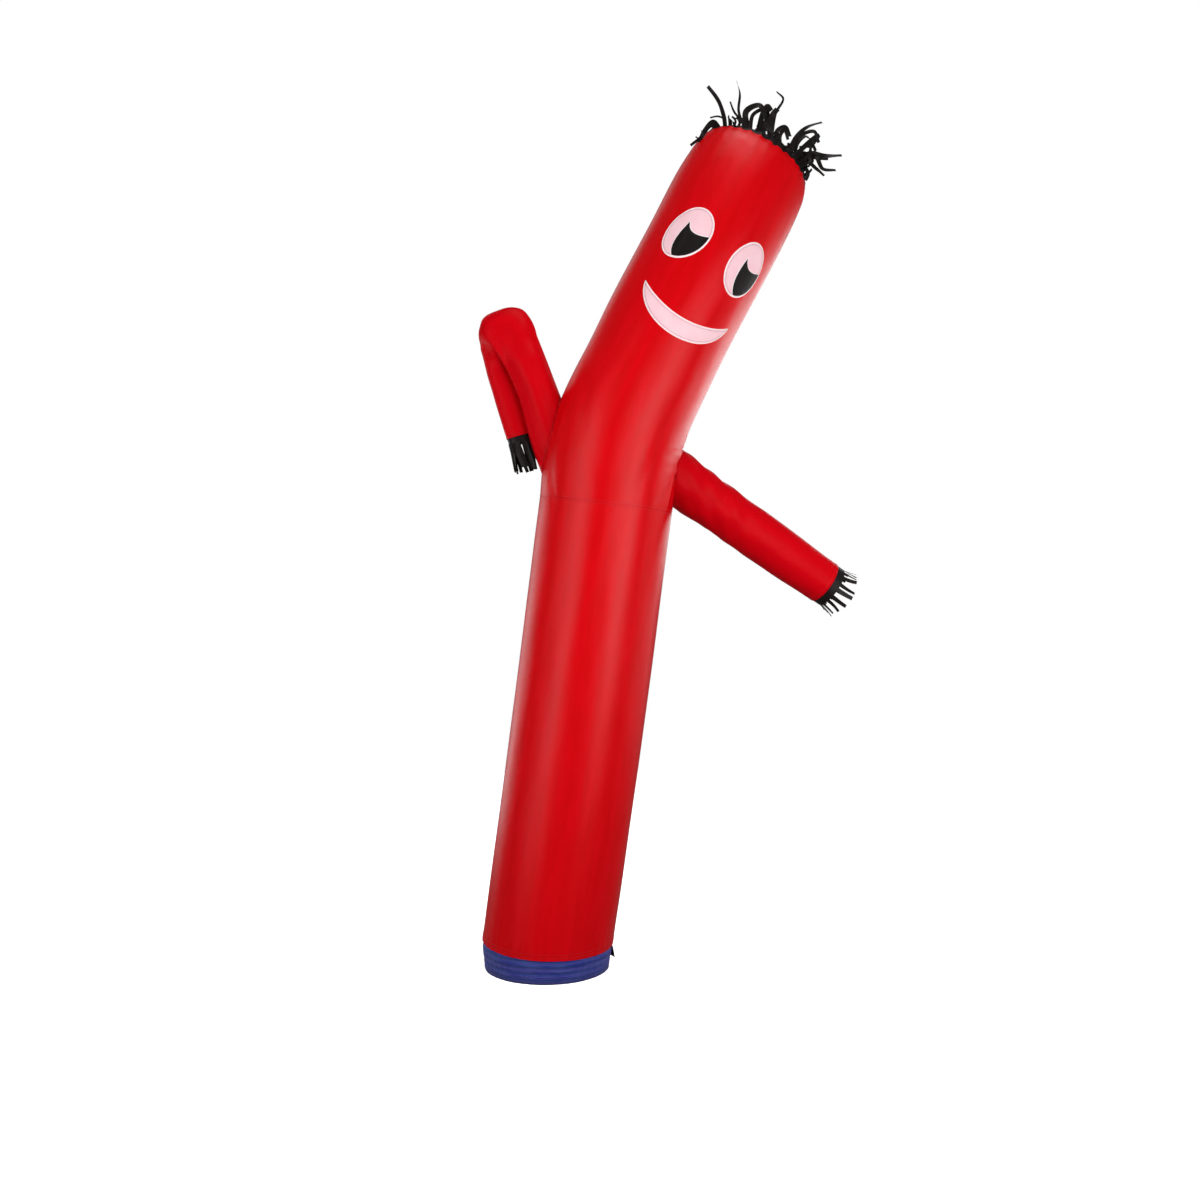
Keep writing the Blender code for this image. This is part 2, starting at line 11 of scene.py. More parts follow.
import bmesh
import bpy
import numpy as np
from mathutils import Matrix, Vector


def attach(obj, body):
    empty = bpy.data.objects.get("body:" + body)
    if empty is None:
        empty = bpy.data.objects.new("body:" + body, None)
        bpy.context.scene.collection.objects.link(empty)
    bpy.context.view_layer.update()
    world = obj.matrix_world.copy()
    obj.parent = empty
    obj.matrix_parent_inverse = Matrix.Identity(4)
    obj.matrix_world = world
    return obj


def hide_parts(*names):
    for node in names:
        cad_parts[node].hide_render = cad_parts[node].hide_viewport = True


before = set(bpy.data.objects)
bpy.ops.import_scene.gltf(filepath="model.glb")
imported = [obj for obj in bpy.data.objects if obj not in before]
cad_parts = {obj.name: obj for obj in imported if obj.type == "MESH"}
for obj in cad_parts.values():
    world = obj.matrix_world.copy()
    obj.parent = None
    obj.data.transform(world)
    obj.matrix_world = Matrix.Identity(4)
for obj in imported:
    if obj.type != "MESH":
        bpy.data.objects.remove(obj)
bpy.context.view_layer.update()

# ---- Sizes shared with the solids ----

FOOT_CENTRE = np.array((-0.4354, -0.0872, 0.0))
RIGHT, BACK, UP = np.eye(3)

Section = collections.namedtuple("Section", "place height x y radius")
BODY = [
    Section("hem", 0.080, 0.002, 0.000, 0.2255),
    Section("shin", 0.397, 0.0465, 0.000, 0.2258),
    Section("thigh", 0.914, 0.117, 0.000, 0.2285),
    Section("waist", 1.431, 0.183, 0.000, 0.2285),
    Section("seam", 1.585, 0.2035, 0.000, 0.2285),
    Section("chest", 1.700, 0.2165, 0.000, 0.2310),
    Section("bend", 1.783, 0.2345, 0.000, 0.2300),
    Section("shoulder", 1.860, 0.2560, 0.000, 0.2260),
    Section("neck", 1.948, 0.2940, 0.003, 0.2230),
    Section("throat", 2.052, 0.3450, 0.009, 0.2205),
    Section("chin", 2.211, 0.4220, 0.022, 0.2210),
    Section("nose", 2.479, 0.5632, 0.055, 0.2232),
    Section("brow", 2.644, 0.6469, 0.088, 0.2245),
    Section("crown", 2.737, 0.6960, 0.110, 0.2180),
    Section("edge", 2.775, 0.7160, 0.120, 0.2090),
    Section("rim", 2.796, 0.7272, 0.1255, 0.1980),
]
HEM_HEIGHT = 0.080
SEAM_HEIGHT = 1.585
RIM_HEIGHT = 2.796
LEANING_ABOVE = 0.400
SEAM_PINCH, SEAM_PINCH_WIDTH = 0.0005, 0.012
BEND_FOLD_HEIGHT, BEND_FOLD, BEND_FOLD_WIDTH, BEND_FOLD_REACH = 1.779, 0.0060, 0.022, 62.0
CLOTH_WIDTH = 1.436      # round the body, before it was sewn into a tube

ARM_RADIUS = 0.0735
ELBOW_FRONT = np.array((-0.1765, 0.000, 2.1195))
ELBOW_BACK = np.array((-0.1820, 0.048, 2.1310))
UPPER_ARM_LEAN = 20.8
UPPER_ARM_LENGTH = 0.500
ELBOW_RUN = 0.200        # of the arm's length is in its fold
# How far the folded arm's outer and inner sides are from its pivot: at degrees of turn round the elbow,
ELBOW = np.array([
    (0.0, 0.1510, -0.0030), (25.0, 0.1640, -0.0030), (36.0, 0.1680, -0.0030),
    (50.0, 0.1570, -0.0030), (66.0, 0.1370, -0.0030), (91.0, 0.1160, -0.0030),
    (106.0, 0.0920, -0.0030), (141.0, 0.0560, -0.0030), (174.8, 0.0500, -0.0030),
])
# and at metres down the forearm.
FOREARM = np.array([
    (0.000, 0.0500, -0.0030), (0.020, 0.0500, -0.0090), (0.040, 0.0505, -0.0150), (0.090, 0.0515, -0.0290),
    (0.145, 0.0500, -0.0390), (0.205, 0.0490, -0.0435), (0.288, 0.0462, -0.0450), (0.318, 0.0450, -0.0440),
])
ELBOW_TURN = ELBOW[-1, 0]
# How far the forearm pushes in the upper arm's inner side, at distances below the elbow.
TUCK = np.array([(0.0, 0.0), (0.040, 0.006), (0.090, 0.013), (0.190, 0.017), (0.300, 0.006), (0.380, 0.0)])
DOME_FADE = 0.085
DOME_FRONT, DOME_BACK = -0.046, 0.095      # how far front and back the cloth passes the pivot
LIMP_POWER = 1.3         # how square the limp forearm's section is, and how deep
LIMP_DEPTH = 0.051


Sleeve = collections.namedtuple("Sleeve", "place x y z radius")
RIGHT_ARM = [
    Sleeve("inside", 0.355, 0.027, 1.745, 0.0930),
    Sleeve("shoulder", 0.452, 0.050, 1.679, 0.0930),
    Sleeve("under shoulder", 0.520, 0.066, 1.632, 0.0885),
    Sleeve("above elbow", 0.620, 0.090, 1.565, 0.0860),
    Sleeve("elbow", 0.720, 0.1135, 1.496, 0.0850),
    Sleeve("forearm", 0.830, 0.140, 1.421, 0.0830),
    Sleeve("wrist", 0.930, 0.164, 1.353, 0.0790),
    Sleeve("end", 0.987, 0.177, 1.315, 0.0775),
]

LEFT_END = UPPER_ARM_LENGTH + ELBOW_RUN + FOREARM[-1, 0]
RIGHT_END = RIGHT_ARM[-1].x
SHOULDER_WRINKLES = (0.500, 0.565, 0.675, 0.740, 0.130, 0.0035)   # from, full from, full to, to, pitch, depth

COLLAR = np.array([(0.000, 0.2140), (0.021, 0.2160), (0.046, 0.2195), (0.074, 0.2225), (0.080, 0.2227)])
COLLAR_LENGTH, COLLAR_RADIUS = 1.360, 0.2165
STITCHED_ROWS = (0.006, 0.020, 0.026, 0.044, 0.050, 0.068)        # up the collar, where the webbing dips
HEM_SHIFT = 0.002
Band = collections.namedtuple("Band", "height radius")
STRAP_LOW, STRAP_HIGH = Band(0.024, 0.2169), Band(0.060, 0.2216)
STRAP_FROM, STRAP_TO, STRAP_FREE = 36.0, 1.5, 12.0      # round the collar; its end is free from the last angle on
STRAP_LIFT, STRAP_CURL, STRAP_CURL_TOP = 0.0020, 0.015, 0.003      # how far off the collar it lies and curls
STRAP_WIDTH = 0.036

FACE_RADIUS = 0.2228
FACE_TURN = 13.2
Oval = collections.namedtuple("Oval", "side across down half_width half_height tilt")
EYES = [
    Oval("left", -0.121, 0.426, 0.074, 0.097, 25.0),
    Oval("right", 0.123, 0.433, 0.072, 0.099, 15.0),
]
# Pupils, in the half sizes of their eye, to the right and up from its middle.
PUPIL_TIP = (-0.35, 0.37)
PUPIL_SIDE_BOW = (-0.32, -0.70)      # the left side bows towards this point
PUPIL_TOP_BOW = (0.08, -0.10)        # and the hollow top dips towards this one
PUPIL_ROUND_FROM, PUPIL_ROUND_TO = -70.0, 30.0      # between these angles it follows the eye's edge
PUPIL_REACH = 0.965
MOUTH_HALF_WIDTH, MOUTH_CUT_HEIGHT = 0.181, 0.130
MOUTH_TIP_DOWN = 0.6225
MOUTH_UPPER_SAG, MOUTH_LOWER_SAG, MOUTH_LOWER_FULLNESS = 0.065, 0.127, 0.62

# ---- Sizes of the looks ----

CLOTH = 0.0008           # how thick the cloth shows at its edges
BODY_COLUMNS, ARM_COLUMNS = 180, 72
EDGE_ROW = 0.0006        # a row this close to each edge keeps the edge's shading to itself
BELOW_HEM = 0.006        # how far the body's cloth goes on under the solids' hem
HEM_FADE = 0.12
RIM_SCALLOP = 0.004
ROOT_PINCH, ROOT_PINCH_WIDTH = 0.0008, 0.007      # the groove in the body's cloth round an arm's sewn root,
ROOT_RIPPLE, ROOT_RIPPLE_REACH, ROOT_RIPPLES = 0.0008, 0.022, 22      # and how many ripples run round it
CUT_AWAY = 0.010         # how far inside a sleeve the body's cloth is cut out
BAND_PITCH = 0.021       # between the pale lines woven into the collar's webbing

RED, DEEP_RED = (0.660, 0.001, 0.005), (0.600, 0.001, 0.003)
# The sleeves' red is the body's nylon painted darker: painted shade for the dimmer light on the arms.
SHADED_SLEEVE_RED, DEEP_SHADED_SLEEVE_RED = (0.590, 0.001, 0.006), (0.550, 0.001, 0.005)
BLUE, WORN_BLUE, NAVY = (0.010, 0.026, 0.300), (0.055, 0.090, 0.400), (0.012, 0.018, 0.090)
VIOLET, BLUE_SHEEN = (0.150, 0.130, 0.480), (0.65, 0.70, 1.0, 1.0)
BLACK, DEEP_BLACK = (0.014, 0.012, 0.012), (0.010, 0.007, 0.007)
PINK, PALE = (0.930, 0.560, 0.620), (0.940, 0.670, 0.720)
PALE_EDGING, PALER_EDGING = (0.960, 0.800, 0.820), (1.0, 0.92, 0.92)


# ---- Helpers ----

def through(keys, values, at):
    """Smooth curves through all the keys: one value, or one row of values, for each number in at."""
    keys, values, at = np.asarray(keys, float), np.asarray(values, float), np.asarray(at, float)
    last = len(keys) - 1
    index = np.arange(last + 1)
    before, after = np.maximum(index - 1, 0), np.minimum(index + 1, last)
    span_of = keys[after] - keys[before]
    slopes = (values[after] - values[before]) / (span_of if values.ndim == 1 else span_of[:, None])
    low = np.clip(np.searchsorted(keys, at, side="right") - 1, 0, last - 1)
    span = keys[low + 1] - keys[low]
    t = (at - keys[low]) / span
    if values.ndim > 1:
        t, span = t[..., None], span[..., None]
    return (values[low] * (2 * t**3 - 3 * t**2 + 1) + values[low + 1] * (3 * t**2 - 2 * t**3)
            + span * (slopes[low] * (t**3 - 2 * t**2 + t) + slopes[low + 1] * (t**3 - t**2)))


def read(table, at):
    """A table's other columns, at values of its first one."""
    return through(table[:, 0], table[:, 1:], at)


def columns(rows, *names):
    return np.array([[getattr(row, name) for name in names] for row in rows], float).squeeze()


def middle_line(keys, middles, at, step=0.002):
    """A tube's middle at each place, and the direction it runs in there."""
    at = np.asarray(at, float)
    return through(keys, middles, at), unit(through(keys, middles, at + step) - through(keys, middles, at - step))


def unit(vectors):
    return vectors / np.linalg.norm(vectors, axis=-1, keepdims=True)


def dot(first, second):
    return np.sum(first * second, -1)


def turn(angle, first, second):
    """The first direction, turned by each angle towards the second."""
    return np.cos(angle)[..., None] * first + np.sin(angle)[..., None] * second


def stacked(*parts):
    """Coordinates from parts that are stretched to one shape."""
    return np.stack(np.broadcast_arrays(*parts), -1)


def run_lengths(path):
    """How far along a path each of its points is."""
    return np.concatenate([[0.0], np.cumsum(np.linalg.norm(np.diff(path, axis=0), axis=1))])


def round_angles(count, start=-math.pi):
    return start + np.arange(count) * 2 * math.pi / count


def wrapped(angle):
    return (angle + math.pi) % (2 * math.pi) - math.pi


def ease(value, start, end):
    share = np.clip((value - start) / (end - start), 0.0, 1.0)
    return share * share * (3 - 2 * share)


def bump_at(distance, width):
    return np.exp(-(distance / width) ** 2)


def waves(*coordinates, seed, count=6):
    """A smooth, uneven wave of the coordinates, about -1 to 1, the same each run."""
    chance = np.random.default_rng(seed)
    total = 0.0
    for _ in range(count):
        pitch = chance.uniform(0.6, 1.6, len(coordinates)) * chance.choice((-1.0, 1.0), len(coordinates))
        total = total + np.sin(sum(p * c for p, c in zip(pitch, coordinates)) + chance.uniform(0, 2 * math.pi))
    return total / count * 1.6


def new_mesh(name, points, faces, cloth=None):
    """A smooth mesh, with the cloth's flat coordinates at each face's corners."""
    mesh = bpy.data.meshes.new(name)
    mesh.from_pydata((np.reshape(points, (-1, 3)) + FOOT_CENTRE).tolist(), [], np.asarray(faces).tolist())
    if cloth is not None:
        mesh.uv_layers.new(name="cloth").uv.foreach_set("vector", np.asarray(cloth, np.float32).ravel())
    mesh.shade_smooth()
    return mesh


def link_mesh(name, mesh, material, thickness=0.0):
    made = bpy.data.objects.new(name, mesh)
    mesh.materials.append(material)
    bpy.context.scene.collection.objects.link(made)
    if thickness:
        solid = made.modifiers.new("thickness", "SOLIDIFY")
        solid.thickness, solid.offset = thickness, -1.0
    return made


def sheet_mesh(name, points, cloth, material, wrap=False, keep=None, thickness=CLOTH):
    """A sheet through rows of points, whose flat cloth coordinates are kept as a UV layer."""
    rows, count = points.shape[:2]
    row, column = (cells.ravel() for cells in np.indices((rows - 1, count if wrap else count - 1)))
    if keep is not None:
        row, column = row[keep.ravel()], column[keep.ravel()]
    corners = np.stack([(row, column), (row, column + 1), (row + 1, column + 1), (row + 1, column)])
    faces = corners[:, 0] * count + corners[:, 1] % count
    used, faces = np.unique(faces.T, return_inverse=True)
    flat = cloth[corners[:, 0], corners[:, 1]].transpose(1, 0, 2)
    mesh = new_mesh(name, points.reshape(-1, 3)[used], faces.reshape(-1, 4), flat)
    return link_mesh(name, mesh, material, thickness)


def dress(piece, slot, *nodes):
    """This piece rides the part's one body and stands for these solids, which it hides. Its slot is not used."""
    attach(piece, "root")
    if nodes:
        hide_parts(*nodes)
    return piece


# ---- Materials ----

class Nodes:
    """Short names for building a material's nodes."""

    def __init__(self, name):
        self.material = bpy.data.materials.new(name)
        self.material.use_nodes = True
        self.tree = self.material.node_tree
        self.shader = self.tree.nodes["Principled BSDF"]

    def add(self, kind, inputs=(), output=0, **settings):
        node = self.tree.nodes.new("ShaderNode" + kind)
        for setting, value in settings.items():
            setattr(node, setting, value)
        for socket, value in dict(inputs).items():
            self.put(node.inputs[socket], value)
        return node.outputs[output]

    def put(self, socket, value):
        if isinstance(value, bpy.types.NodeSocket):
            self.tree.links.new(value, socket)
        else:
            socket.default_value = value

    def finish(self, **inputs):
        """Sets the shader's own sockets, and gives the material."""
        for socket, value in inputs.items():
            self.put(self.shader.inputs[socket.replace("_", " ")], value)
        return self.material

    def cloth(self):
        """The cloth's flat coordinates, together and each alone."""
        flat = self.add("UVMap", uv_map="cloth")
        apart = self.add("SeparateXYZ", {0: flat}).node
        return flat, apart.outputs[0], apart.outputs[1]

    def math(self, operation, first, second=0.0):
        return self.add("Math", {0: first, 1: second}, operation=operation)

    def wave(self, value, pitch):
        return self.math("SINE", self.math("MULTIPLY", value, 2 * math.pi / pitch))

    def noise(self, place, stretch, detail=3.0, roughness=0.5):
        place = self.add("Mapping", {"Vector": place, "Scale": stretch})
        return self.add("TexNoise", {"Vector": place, "Scale": 1.0, "Detail": detail, "Roughness": roughness})

    def mix(self, share, first, second):
        node = self.tree.nodes.new("ShaderNodeMix")
        node.data_type = "RGBA"
        for socket, value in (("Factor", share), ("A", first), ("B", second)):
            self.put(node.inputs[socket], (*value, 1.0) if isinstance(value, tuple) else value)
        return node.outputs["Result"]

    def range(self, value, low, high, to_low=0.0, to_high=1.0):
        return self.add("MapRange", {"Value": value, "From Min": low, "From Max": high, "To Min": to_low,
                                     "To Max": to_high})

    def bump(self, height, distance, strength=1.0, normal=None):
        under = {} if normal is None else {"Normal": normal}
        return self.add("Bump", {"Height": height, "Distance": distance, "Strength": strength, **under})


def weave(nodes, right, up, pitch, depth, normal=None):
    """A plain weave in the cloth's own flat coordinates: threads over and under each other at one pitch."""
    crossing = nodes.math("MULTIPLY", nodes.wave(right, 2 * pitch), nodes.wave(up, 2 * pitch))
    return nodes.bump(crossing, depth, normal=normal)


def nylon(name, colour, deep, roughness, gloss):
    """Thin coated cloth: a close weave, fine crinkles that run with the tube, and an uneven satin gloss."""
    nodes = Nodes(name)
    flat, right, up = nodes.cloth()
    lengthwise = nodes.noise(flat, (34.0, 5.0, 1.0), detail=4.0)
    fine = nodes.noise(flat, (150.0, 60.0, 1.0), detail=5.0, roughness=0.6)
    crinkled = nodes.bump(nodes.math("ADD", lengthwise, nodes.math("MULTIPLY", fine, 0.35)), 0.0004, 0.55)
    return nodes.finish(Base_Color=nodes.mix(nodes.range(lengthwise, 0.35, 0.65), deep, colour),
                        Roughness=nodes.range(fine, 0.3, 0.7, roughness - 0.04, roughness + 0.05),
                        Normal=weave(nodes, right, up, 0.0011, 0.00006, crinkled), Specular_IOR_Level=gloss)


def webbing(name):
    """Heavy woven tape: cross ribs, pale lines and deeper blue between them, and navy towards the foot."""
    nodes = Nodes(name)
    flat, right, up = nodes.cloth()
    ribs, twill = nodes.wave(up, 0.0030), nodes.wave(nodes.math("ADD", right, up), 0.0016)
    worn = nodes.noise(flat, (12.0, 60.0, 1.0), detail=4.0)
    colour = nodes.mix(nodes.range(worn, 0.35, 0.65), BLUE, WORN_BLUE)
    bands = nodes.wave(up, BAND_PITCH)
    colour = nodes.mix(nodes.range(bands, 0.80, 1.0, 0.0, 0.45), colour, VIOLET)
    colour = nodes.mix(nodes.range(bands, -1.0, -0.5, 0.7, 0.0), colour, NAVY)
    height = nodes.math("ADD", ribs, nodes.math("MULTIPLY", twill, 0.5))
    return nodes.finish(Base_Color=nodes.mix(nodes.range(up, 0.0, 0.016), NAVY, colour),
                        Normal=nodes.bump(height, 0.00035), Roughness=0.50, Specular_IOR_Level=0.25,
                        Sheen_Weight=0.16, Sheen_Tint=BLUE_SHEEN)


def applied_cloth(name, colour, pale):
    """The patches' cloth: matt and finely woven, a little uneven in tone."""
    nodes = Nodes(name)
    flat, right, up = nodes.cloth()
    cloudy = nodes.noise(flat, (28.0, 28.0, 28.0))
    return nodes.finish(Base_Color=nodes.mix(nodes.range(cloudy, 0.3, 0.7, 0.0, 0.5), colour, pale),
                        Normal=weave(nodes, right, up, 0.0012, 0.00008), Roughness=0.62, Sheen_Weight=0.15)


def thread(name, colour):
    """Sewing thread, with its twist."""
    nodes = Nodes(name)
    strands = nodes.noise(nodes.add("TexCoord", output="Object"), (900.0, 900.0, 900.0), detail=2.0)
    dark = tuple(0.55 * part for part in colour)
    return nodes.finish(Base_Color=nodes.mix(strands, dark, colour), Normal=nodes.bump(strands, 0.0002),
                        Roughness=0.55)


RED_NYLON = nylon("red_nylon_cloth", RED, DEEP_RED, 0.22, 0.13)
# The body's red nylon with painted shade in a darker red, and with less gloss.
SHADED_SLEEVE_NYLON = nylon("red_nylon_sleeves_painted_shade", SHADED_SLEEVE_RED, DEEP_SHADED_SLEEVE_RED, 0.32, 0.025)
BLACK_NYLON = nylon("black_nylon_cloth", BLACK, DEEP_BLACK, 0.36, 0.10)
BLUE_WEBBING = webbing("blue_webbing_tape")
PINK_CLOTH = applied_cloth("pale_pink_cloth_patch", PINK, PALE)
PALE_EDGE = applied_cloth("pale_edge_cloth", PALE_EDGING, PALER_EDGING)
RED_THREAD = thread("red_thread", (0.58, 0.004, 0.012))
DARK_THREAD = thread("dark_thread", (0.16, 0.060, 0.070))
BLUE_THREAD = thread("blue_thread", (0.190, 0.100, 0.500))


# ---- The body's shape ----

BODY_HEIGHTS, BODY_RADII = columns(BODY, "height"), columns(BODY, "radius")
BODY_MIDDLES = columns(BODY, "x", "y", "height")


def body_frame(height):
    """The middle of the section at each height, and its directions to the right, back and along."""
    centre, along = middle_line(BODY_HEIGHTS, BODY_MIDDLES, height)
    leaning = ease(np.asarray(height, float), HEM_HEIGHT, LEANING_ABOVE)[..., None]
    along = unit(UP * (1 - leaning) + along * leaning)
    right = unit(RIGHT - along[..., :1] * along)
    return centre, right, np.cross(along, right), along


def body_radius(height, angle):
    """The solids' own radius, with their pinched seam and the fold in the hollow of the bend."""
    pinch = SEAM_PINCH * bump_at(height - SEAM_HEIGHT, SEAM_PINCH_WIDTH)
    aside = np.minimum(np.abs(np.degrees(wrapped(angle))) / BEND_FOLD_REACH, 1.0)
    fold = BEND_FOLD * np.cos(aside * math.pi / 2) * bump_at(height - BEND_FOLD_HEIGHT, BEND_FOLD_WIDTH)
    return through(BODY_HEIGHTS, BODY_RADII, height) - pinch - fold


def body_point(height, angle, lift=0.0):
    height, angle = np.broadcast_arrays(np.asarray(height, float), np.asarray(angle, float))
    centre, right, back, _ = body_frame(height)
    return centre + (body_radius(height, angle) + lift)[..., None] * turn(angle, right, back)


# Soft troughs and ridges in the body's cloth: where the middle of each is, how far it runs either way, how it
# slants from the tube's line, how wide it is and how far it stands in or out.
Crease = collections.namedtuple("Crease", "place angle height run slant width depth")
CREASES = [
    Crease("long hollow, front left", -128.0, 1.05, 0.85, 1.0, 0.050, -0.0022),
    Crease("long ridge, front left", -104.0, 1.15, 0.75, 1.0, 0.040, 0.0016),
    Crease("long hollow, front", -86.0, 1.00, 0.80, 0.5, 0.042, -0.0020),
    Crease("long ridge, front right", -66.0, 1.20, 0.80, 0.5, 0.042, 0.0018),
    Crease("long hollow, right", -38.0, 1.00, 0.80, 0.5, 0.050, -0.0022),
    Crease("under the left arm", -150.0, 1.70, 0.18, -14.0, 0.018, -0.0028),
    Crease("left arm's pull", -128.0, 1.86, 0.16, -34.0, 0.020, -0.0024),
    Crease("chest, below the bend", -58.0, 1.74, 0.20, 18.0, 0.024, -0.0024),
    Crease("bend, first fold", -24.0, 1.830, 0.075, 84.0, 0.010, -0.0030),
    Crease("bend, second fold", -18.0, 1.722, 0.060, 98.0, 0.009, -0.0022),
    Crease("right arm's pull", -36.0, 1.620, 0.080, 40.0, 0.012, -0.0020),
    Crease("cheek, left", -140.0, 2.30, 0.30, 2.0, 0.030, -0.0016),
    Crease("cheek, right", -42.0, 2.36, 0.34, -2.0, 0.034, -0.0020),
    Crease("forehead", -84.0, 2.66, 0.14, 6.0, 0.024, -0.0012),
    Crease("back, left", 128.0, 1.10, 0.80, -1.0, 0.050, -0.0024),
    Crease("back, middle", 74.0, 1.20, 0.90, 1.0, 0.045, -0.0020),
    Crease("back, right", 38.0, 1.00, 0.70, 0.0, 0.048, -0.0024),
    Crease("back of the bend", 60.0, 1.82, 0.14, 70.0, 0.016, -0.0024),
    Crease("back of the left arm", 150.0, 1.74, 0.16, 24.0, 0.018, -0.0026),
]

# Folds that run along a route of heights and angles.
Fold = collections.namedtuple("Fold", "place heights angles width depth")
FOLDS = [
    Fold("ridge before the reaching arm", (1.935, 1.885, 1.840, 1.752, 1.656, 1.600, 1.575),
         (-9.0, -8.5, -11.0, -18.0, -22.5, -26.5, -27.5), 0.0055, 0.0034),
    Fold("hollow beside that ridge", (1.860, 1.752, 1.656, 1.600), (-2.0, -11.0, -16.0, -20.0), 0.010, -0.0034),
    Fold("armpit, left", (1.860, 1.800, 1.740, 1.690), (-150.0, -141.0, -138.0, -140.0), 0.012, -0.0016),
]


def along_fold(fold, height, angle):
    """How near each place is to a fold's route, on the flat cloth, fading out at its two ends."""
    places = np.stack([wrapped(angle) * FACE_RADIUS + 0 * height, height + 0 * angle], -1)
    route = np.stack([np.radians(fold.angles) * FACE_RADIUS, fold.heights], -1)
    nearest, where = np.full(places.shape[:-1], np.inf), np.zeros(places.shape[:-1])
    for number, (start, end) in enumerate(zip(route[:-1], route[1:])):
        share = np.clip((places - start) @ (end - start) / ((end - start) @ (end - start)), 0, 1)
        away = np.linalg.norm(places - start - share[..., None] * (end - start), axis=-1)
        nearest, where = np.minimum(nearest, away), np.where(away < nearest, number + share, where)
    last = len(route) - 1
    return bump_at(nearest, fold.width) * ease(where, 0.0, 0.6) * (1 - ease(where, last - 0.6, last))


def creased(height, angle):
    lift = np.zeros(np.broadcast(height, angle).shape)
    for fold in FOLDS:
        lift += fold.depth * along_fold(fold, height, angle)
    for crease in CREASES:
        slant = math.radians(crease.slant)
        aside = wrapped(angle - math.radians(crease.angle)) * FACE_RADIUS
        rise = height - crease.height
        along = rise * math.cos(slant) + aside * math.sin(slant)
        across = aside * math.cos(slant) - rise * math.sin(slant)
        across = across + 0.25 * crease.width * np.sin(along / crease.run * 3.0 + crease.angle)
        lift += crease.depth * bump_at(across, crease.width) * bump_at(along, crease.run)
    return lift


# Small gathers that a row of stitches pulls in: from one to the next, how far they reach from it, and how deep.
Gathers = collections.namedtuple("Gathers", "pitch reach depth seed")
HEM_GATHERS = Gathers(0.036, 0.040, 0.0016, 7)
SEAM_GATHERS = Gathers(0.017, 0.014, 0.0005, 9)
RIM_GATHERS = Gathers(0.040, 0.026, 0.0016, 13)
ROOT_GATHERS = Gathers(0.021, 0.020, 0.0012, 17)
CUFF_GATHERS = Gathers(0.028, 0.018, 0.0008, 19)
COLLAR_GATHERS = Gathers(0.030, 1.0, 0.0004, 41)


def puckers(distance_round, distance_from, gathers):
    uneven = waves(distance_round / (gathers.pitch * 2.2), distance_from / (gathers.pitch * 6), seed=gathers.seed)
    return (gathers.depth * np.sin(2 * math.pi * distance_round / gathers.pitch + 2.0 * uneven)
            * np.exp(-np.abs(distance_from) / gathers.reach))


# Waves all over the body's cloth: how high, how far apart round it and up it, and their seed.
BODY_WAVES = ((0.0011, 0.075, 0.42, 3), (0.0004, 0.022, 0.09, 5))
# The grooves where its two ends are turned in and sewn: at what height, how deep and how wide.
SEWN_GROOVES = ((RIM_HEIGHT - 0.018, 0.0010, 0.004), (HEM_HEIGHT + 0.012, 0.0008, 0.003))


def body_relief(height, angle):
    """How far the cloth stands in or out from the plain tube."""
    round_it = wrapped(angle) * FACE_RADIUS
    lift = sum(high * waves(round_it / across, height / along, seed=seed, count=8)
               for high, across, along, seed in BODY_WAVES)
    lift += creased(height, angle)
    lift += puckers(round_it, height - HEM_HEIGHT, HEM_GATHERS)
    lift += puckers(round_it, height - SEAM_HEIGHT, SEAM_GATHERS)
    lift += puckers(round_it, RIM_HEIGHT - height, RIM_GATHERS)
    for row, depth, width in SEWN_GROOVES:
        lift -= depth * bump_at(height - row, width)
    return lift * ease(height, HEM_HEIGHT - 0.02, HEM_HEIGHT + 0.01)


# ---- The arms' shapes ----

def folded_arm(station):
    """The section of the folded arm at each station, in metres along it from inside the body: its middle, its
    outward direction, and its two half widths. What it loses in width it gains in depth."""
    station = np.asarray(station, float)
    turned = np.clip((station - UPPER_ARM_LENGTH) / ELBOW_RUN, 0.0, 1.0) * ELBOW_TURN
    down = np.clip(station - UPPER_ARM_LENGTH - ELBOW_RUN, 0.0, None)
    up = np.clip(UPPER_ARM_LENGTH - station, 0.0, None)
    angle = math.radians(UPPER_ARM_LEAN) + np.radians(turned)
    outward, onward = turn(angle, RIGHT, UP), turn(angle, UP, -RIGHT)
    pivot = ELBOW_FRONT + (ELBOW_BACK - ELBOW_FRONT) * ease(turned, 0.0, ELBOW_TURN)[..., None]
    reach = np.where((down > 0)[..., None], read(FOREARM, down), read(ELBOW, turned))
    outer, inner = reach[..., 0], reach[..., 1]
    inner = inner + read(TUCK, np.clip(up, 0.0, TUCK[-1, 0]))[..., 0]
    wide = (outer - inner) / 2
    deep = np.sqrt(2 * ARM_RADIUS**2 - wide**2)
    centre = pivot + onward * (down - up)[..., None] + outward * ((outer + inner) / 2)[..., None]
    return centre, outward, wide, deep


